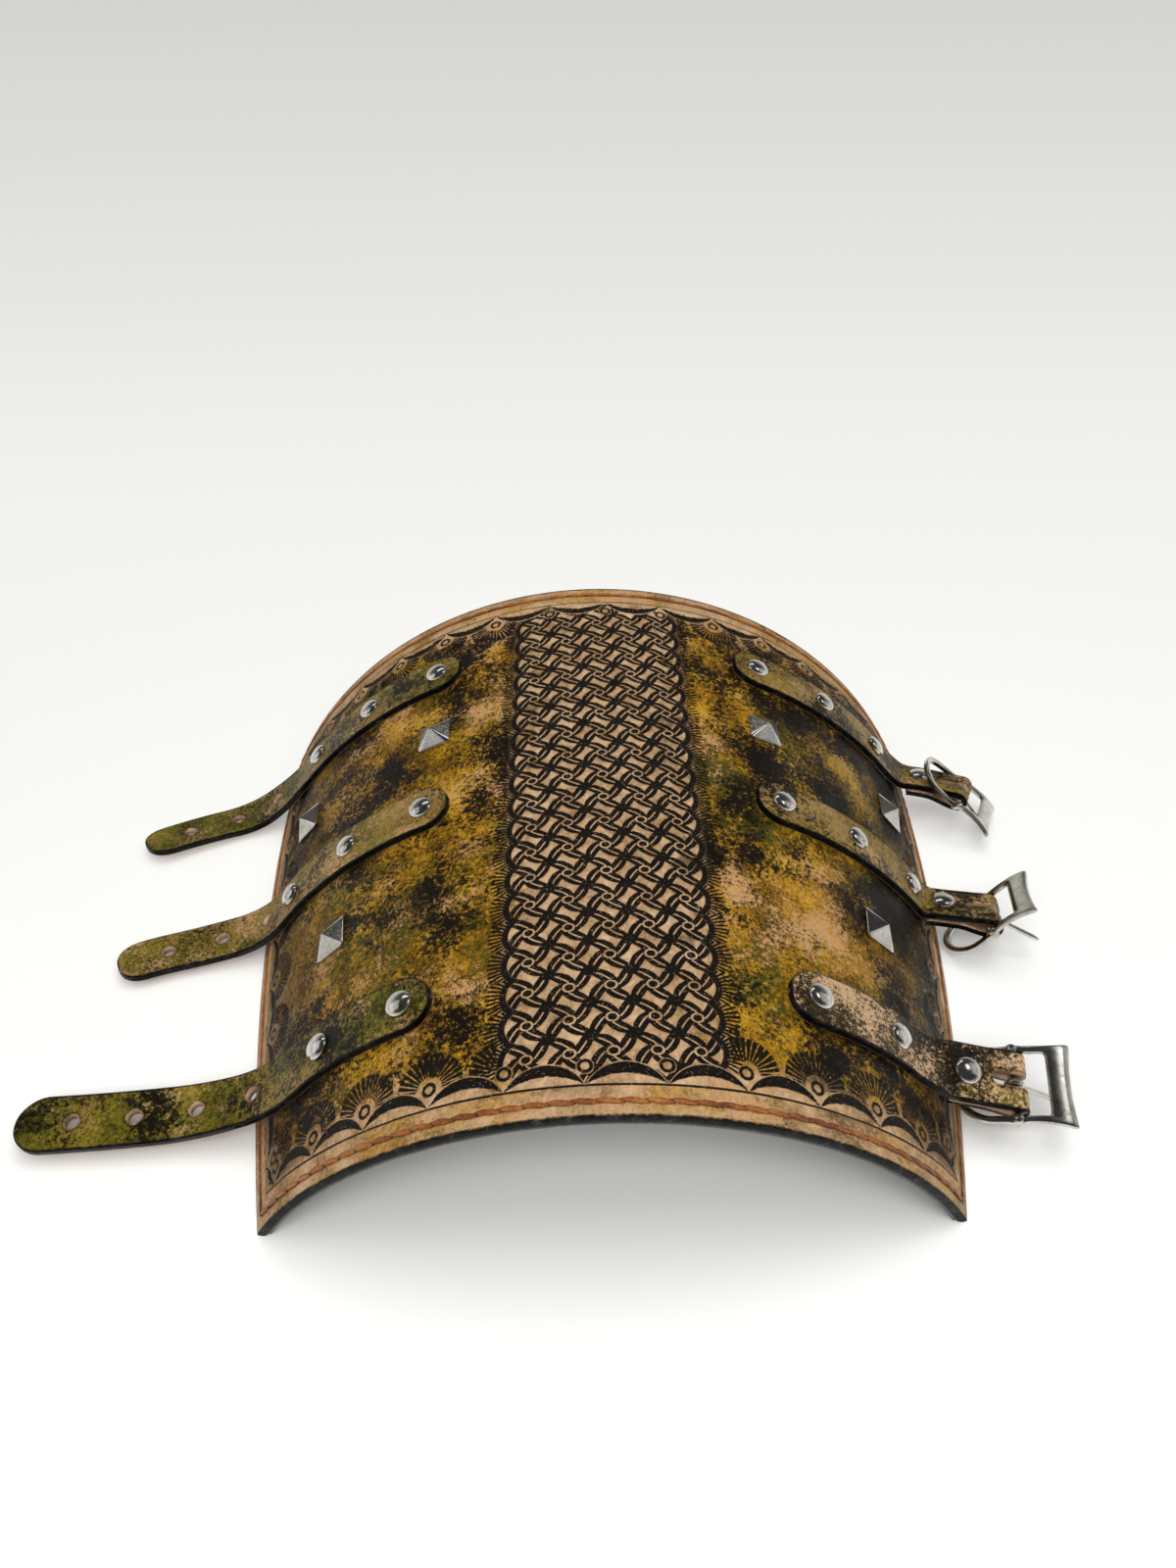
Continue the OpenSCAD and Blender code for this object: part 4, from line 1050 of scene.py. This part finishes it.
def frame_outlines():
    """Matching points of the inner and outer outline, round the frame, as (u, w)."""
    half, outer = FRAME_GAP / 2, FRAME_GAP / 2 + RAIL_W
    inner_u, bend = SQUARE_LEN - END_BAR_W, -(ROUND_LEN - RAIL_W - FRAME_GAP / 2)
    pairs = [
        (inner_u, 0, SQUARE_LEN - 1.0, 0),
        (inner_u, 4, SQUARE_LEN - 0.9, 4.5),
        (inner_u, 8, SQUARE_LEN - 0.45, 9.3),
        (inner_u - 0.1, 9.3, SQUARE_LEN - 0.1, 12.2),
        (inner_u - 0.5, 9.95, SQUARE_LEN - 0.1, 13.3),
        (inner_u - 1.3, half, SQUARE_LEN - 1.2, 13.55),
        (inner_u - 2.6, half, SQUARE_LEN - 4, 13.2),
        (inner_u - 4.5, half, SQUARE_LEN - 9, outer + 0.1),
        (3.2, half, 3.6, outer),
        (1.6, half, 1.8, outer + 0.25),
        (0, half, 0, outer + 0.55),
        (-1.6, half, -1.8, outer + 0.25),
        (-3.2, half, -3.6, outer),
        (bend, half, bend, outer),
    ]
    for q in np.linspace(0, math.pi / 2, 9)[1:]:
        sin, cos = math.sin(q), math.cos(q)
        pairs.append((bend - half * sin, half * cos, bend - outer * sin, outer * cos))
    pairs = np.array(pairs)
    pairs = np.concatenate([pairs, (pairs * [1, -1, 1, -1])[-2:0:-1]])
    count, fine = len(pairs), 240
    at = np.arange(fine) * count / fine
    i = np.floor(at).astype(int)
    f = (at - i)[:, None]
    p0, p1, p2, p3 = (pairs[(i + m) % count] for m in (-1, 0, 1, 2))
    square, cube = 2 * p0 - 5 * p1 + 4 * p2 - p3, 3 * p1 - p0 - 3 * p2 + p3
    return 0.5 * (2 * p1 + (p2 - p0) * f + square * f ** 2 + cube * f ** 3)


def tube(path, radii, ups, sides, closed=False):
    """Points and faces of a round wire along a path."""
    path = np.asarray(path)
    run = np.roll(path, -1, 0) - np.roll(path, 1, 0) if closed else np.gradient(path, axis=0)
    run /= np.linalg.norm(run, axis=1)[:, None]
    side = np.cross(run, ups)
    side /= np.linalg.norm(side, axis=1)[:, None]
    up = np.cross(side, run)
    turn = np.linspace(0, 2 * math.pi, sides, endpoint=False)
    ring = side[:, None] * np.cos(turn)[None, :, None] + up[:, None] * np.sin(turn)[None, :, None]
    points = (path[:, None] + ring * np.asarray(radii)[:, None, None]).reshape(-1, 3)
    faces = sleeve(len(path), sides, closed)
    if not closed:
        faces += [list(range(sides))[::-1], [(len(path) - 1) * sides + q for q in range(sides)]]
    return points, faces


for k, key in enumerate(KEYS):
    bar = bar_station(k)
    origin = bar[0]
    axes = tilted(axes_of(bar), FRAME_PITCH[k])
    ahead, wide, out = axes
    outline = frame_outlines()
    loop = []
    for m in range(SECTION_SIDES):
        turn = 2 * math.pi * m / SECTION_SIDES
        cx = math.copysign(abs(math.cos(turn)) ** SECTION_SHAPE, math.cos(turn))
        cy = math.copysign(abs(math.sin(turn)) ** SECTION_SHAPE, math.sin(turn))
        f = 0.5 + 0.5 * cx
        uw = outline[:, 0:2] * (1 - f) + outline[:, 2:4] * f
        loop.append(np.stack([uw[:, 0], uw[:, 1], frame_bow(uw[:, 0]) + cy * FRAME_T / 2], -1))
    loop = np.stack(loop, 1)
    points = origin + loop[..., 0:1] * ahead + loop[..., 1:2] * wide + loop[..., 2:3] * out
    parts = [(points.reshape(-1, 3), sleeve(len(outline), SECTION_SIDES, True))]
    w = np.linspace(-FRAME_GAP / 2 - BAR_OVER, FRAME_GAP / 2 + BAR_OVER, 25)
    bar_path = origin + w[:, None] * wide
    parts.append(tube(bar_path, np.full(25, BAR_R), np.tile(out, (25, 1)), 28))
    for end in (-1, 1):
        seat_at = origin + end * (FRAME_GAP + RAIL_W) / 2 * wide
        parts.append(turned(BOSS, seat_at, axes, 32))
    name = key.capitalize() + "_buckle_frame"
    piece(name, *joined(parts), cast_nickel, "nickel", [key + "_frame"], key + "_buckle")
    p_ahead, p_wide, p_out = tilted(axes, PRONG_PITCH[k])
    eye_r = BAR_R + WIRE_GAP + PRONG_D / 2
    turn = np.linspace(0, 2 * math.pi, 49)[:-1]
    eye = origin + eye_r * (np.cos(turn)[:, None] * p_ahead + np.sin(turn)[:, None] * p_out)
    parts = [tube(eye, np.full(48, PRONG_D / 2), np.tile(p_wide, (48, 1)), 20, True)]
    taper = PRONG_LEN + PRONG_OVER - PRONG_TAPER
    tip = PRONG_LEN + PRONG_OVER - PRONG_TAPER * (1 - np.sin(np.linspace(0.1, math.pi / 2 - 0.06, 12)))
    run = np.r_[np.linspace(eye_r, taper, 22), tip]
    slim = np.sqrt(np.clip(1 - (np.maximum(run - taper, 0) / PRONG_TAPER) ** 2, 0.002, 1))
    shank = origin + run[:, None] * p_ahead
    parts.append(tube(shank, slim * PRONG_D / 2, np.tile(p_out, (len(run), 1)), 20))
    name = key.capitalize() + "_buckle_prong"
    piece(name, *joined(parts), nickel, "nickel", [key + "_prong"], key + "_tongue")

# Floor, light and camera: the bracer stands on a sweep of white paper, painted greyer towards the back as
# fall-off of light, inside a backdrop painted from pale at its foot to near black at its top as shade of the
# unlit room above, which the metal mirrors. A broad soft box and a front fill light it, and two small strips
# give the metal its glints. The camera stands where the photograph's did, above the wrist end.
# The paper's tone grows greyer towards the back: painted fall-off of light, as less light reaches the far
# floor.
PAPER_AND_FALLOFF = [(0, "fffffb"), (0.05, "fcfbf7"), (0.1, "f5f4f0"), (0.15, "f1f0ec"), (0.25, "e9e8e4")]
PAPER_AND_FALLOFF += [(0.46, "e1e0dc"), (1, "d9d8d4")]
# The backdrop's tone runs from pale at its foot to near black at its top: painted shade of the unlit room
# above, which the metal mirrors.
WALL = [(0, "e2e1dd"), (0.22, "d2d1cd"), (0.45, "5c5b59"), (1, "2a2a2a")]
WALL_R, WALL_H = 5, 5


def backing(name, base, rough, axis, low, high, stops):
    """Material that is plain to light and shows the tone of its stops to the camera and in mirrors and glass;
    on the paper and the backdrop these tones are partly painted fall-off of light and painted shade.
    """
    material, shader, add, _ = new_material(name)
    shader.inputs["Base Color"].default_value = base
    shader.inputs["Roughness"].default_value = rough
    here = add("TexCoord").outputs["Object"]
    place = add("SeparateXYZ", {0: here}).outputs[axis]
    tone = shaded(add, span(add, place, low, high), stops)
    path = add("LightPath").outputs
    share = maths(add, "MAXIMUM", path["Is Camera Ray"], path["Is Glossy Ray"])
    share = maths(add, "MAXIMUM", share, path["Is Transmission Ray"])
    if axis == "Y":
        reach = add("VectorMath", {0: here}, operation="LENGTH").outputs["Value"]
        behind, outer = span(add, place, -0.05, 0.35, 0.0, 0.95), span(add, reach, 0.8, 1.8, 0.0, 0.95)
        share = maths(add, "MULTIPLY", share, maths(add, "MAXIMUM", behind, outer))
    glow = add("Emission", {"Color": tone}).outputs[0]
    mix = add("MixShader", {0: share, 1: shader.outputs[0], 2: glow}).outputs[0]
    tree = material.node_tree
    tree.links.new(mix, tree.nodes["Material Output"].inputs["Surface"])
    return material


bpy.ops.object.select_all(action="DESELECT")
bpy.ops.mesh.primitive_plane_add(size=12, location=(0, 0, 0))
floor = bpy.context.object
floor.name = "Floor"
paper = backing("White_paper", (0.96, 0.96, 0.935, 1), 0.9, "Y", 0.0, 3.4, PAPER_AND_FALLOFF)
floor.data.materials.append(paper)
bpy.ops.mesh.primitive_cylinder_add(
    radius=WALL_R, depth=WALL_H, location=(0, 0, WALL_H / 2), end_fill_type="NOTHING", vertices=128
)
wall = bpy.context.object
wall.name = "Backdrop"
cloth = backing("Backdrop_with_painted_shade", (0.2, 0.2, 0.2, 1), 1.0, "Z", -WALL_H / 2, WALL_H / 2, WALL)
wall.data.materials.append(cloth)
wall.data.polygons.foreach_set("use_smooth", [True] * len(wall.data.polygons))

# Each light: place, target, size, power, and whether the metal mirrors it.
LIGHTS = {
    "Overhead_softbox": ((0.1, -0.05, 1.3), (0, 0, 0.04), (1.1, 0.8), 9.4, False),
    "Left_softbox": ((-1.2, 0.1, 0.7), (0, 0, 0.04), (0.9, 0.9), 1.7, True),
    "Right_softbox": ((1.2, 0.1, 0.7), (0, 0, 0.04), (0.9, 0.9), 1.2, True),
    "Back_strip": ((-0.15, 0.7, 1.0), (0, 0, 0.04), (0.9, 0.15), 1.0, True),
    "Corner_strip": ((0.72, 0.12, 1.25), (0.1, -0.05, 0.02), (0.4, 0.25), 0.8, True),
    "Front_fill": ((0, -0.8, 0.97), (0, 0, 0.02), (1.4, 0.5), 10.8, False),
}
for name, (place, target, size, power, mirrored) in LIGHTS.items():
    data = bpy.data.lights.new(name, "AREA")
    data.shape = "RECTANGLE"
    data.size, data.size_y = size
    data.energy = power
    light = bpy.data.objects.new(name, data)
    light.location = place
    light.rotation_euler = (Vector(target) - Vector(place)).to_track_quat("-Z", "Y").to_euler()
    light.visible_glossy = mirrored
    bpy.context.scene.collection.objects.link(light)
world = bpy.data.worlds.new("Studio")
bpy.context.scene.world = world
world.use_nodes = True
background = world.node_tree.nodes["Background"]
background.inputs["Color"].default_value = (0.9, 0.91, 0.92, 1)
background.inputs["Strength"].default_value = 0.06

CAMERA = np.array([-9.2, -302.6, 324.6])
YAW, PITCH, ROLL, FOCAL = 0.77, 38.8, -0.43, 1183.3
SENSOR, PICTURE_H = 36, 1600
c, s = math.cos(math.radians(PITCH)), math.sin(math.radians(PITCH))
cy, sy = math.cos(math.radians(YAW)), math.sin(math.radians(YAW))
gaze, right = np.array([sy * c, cy * c, -s]), np.array([cy, -sy, 0])
up = np.cross(right, gaze)
cr, sr = math.cos(math.radians(ROLL)), math.sin(math.radians(ROLL))
right, up = cr * right + sr * up, cr * up - sr * right
camera_data = bpy.data.cameras.new("Camera")
camera_data.sensor_width, camera_data.lens = SENSOR, SENSOR * FOCAL / PICTURE_H
camera_data.clip_start = 0.01
camera = bpy.data.objects.new("Camera", camera_data)
rotation = Matrix([[right[i], up[i], -gaze[i]] for i in range(3)]).to_4x4()
camera.matrix_world = Matrix.Translation(Vector(CAMERA * MM)) @ rotation
bpy.context.scene.collection.objects.link(camera)
bpy.context.scene.camera = camera
bpy.context.scene.view_settings.view_transform = "Standard"
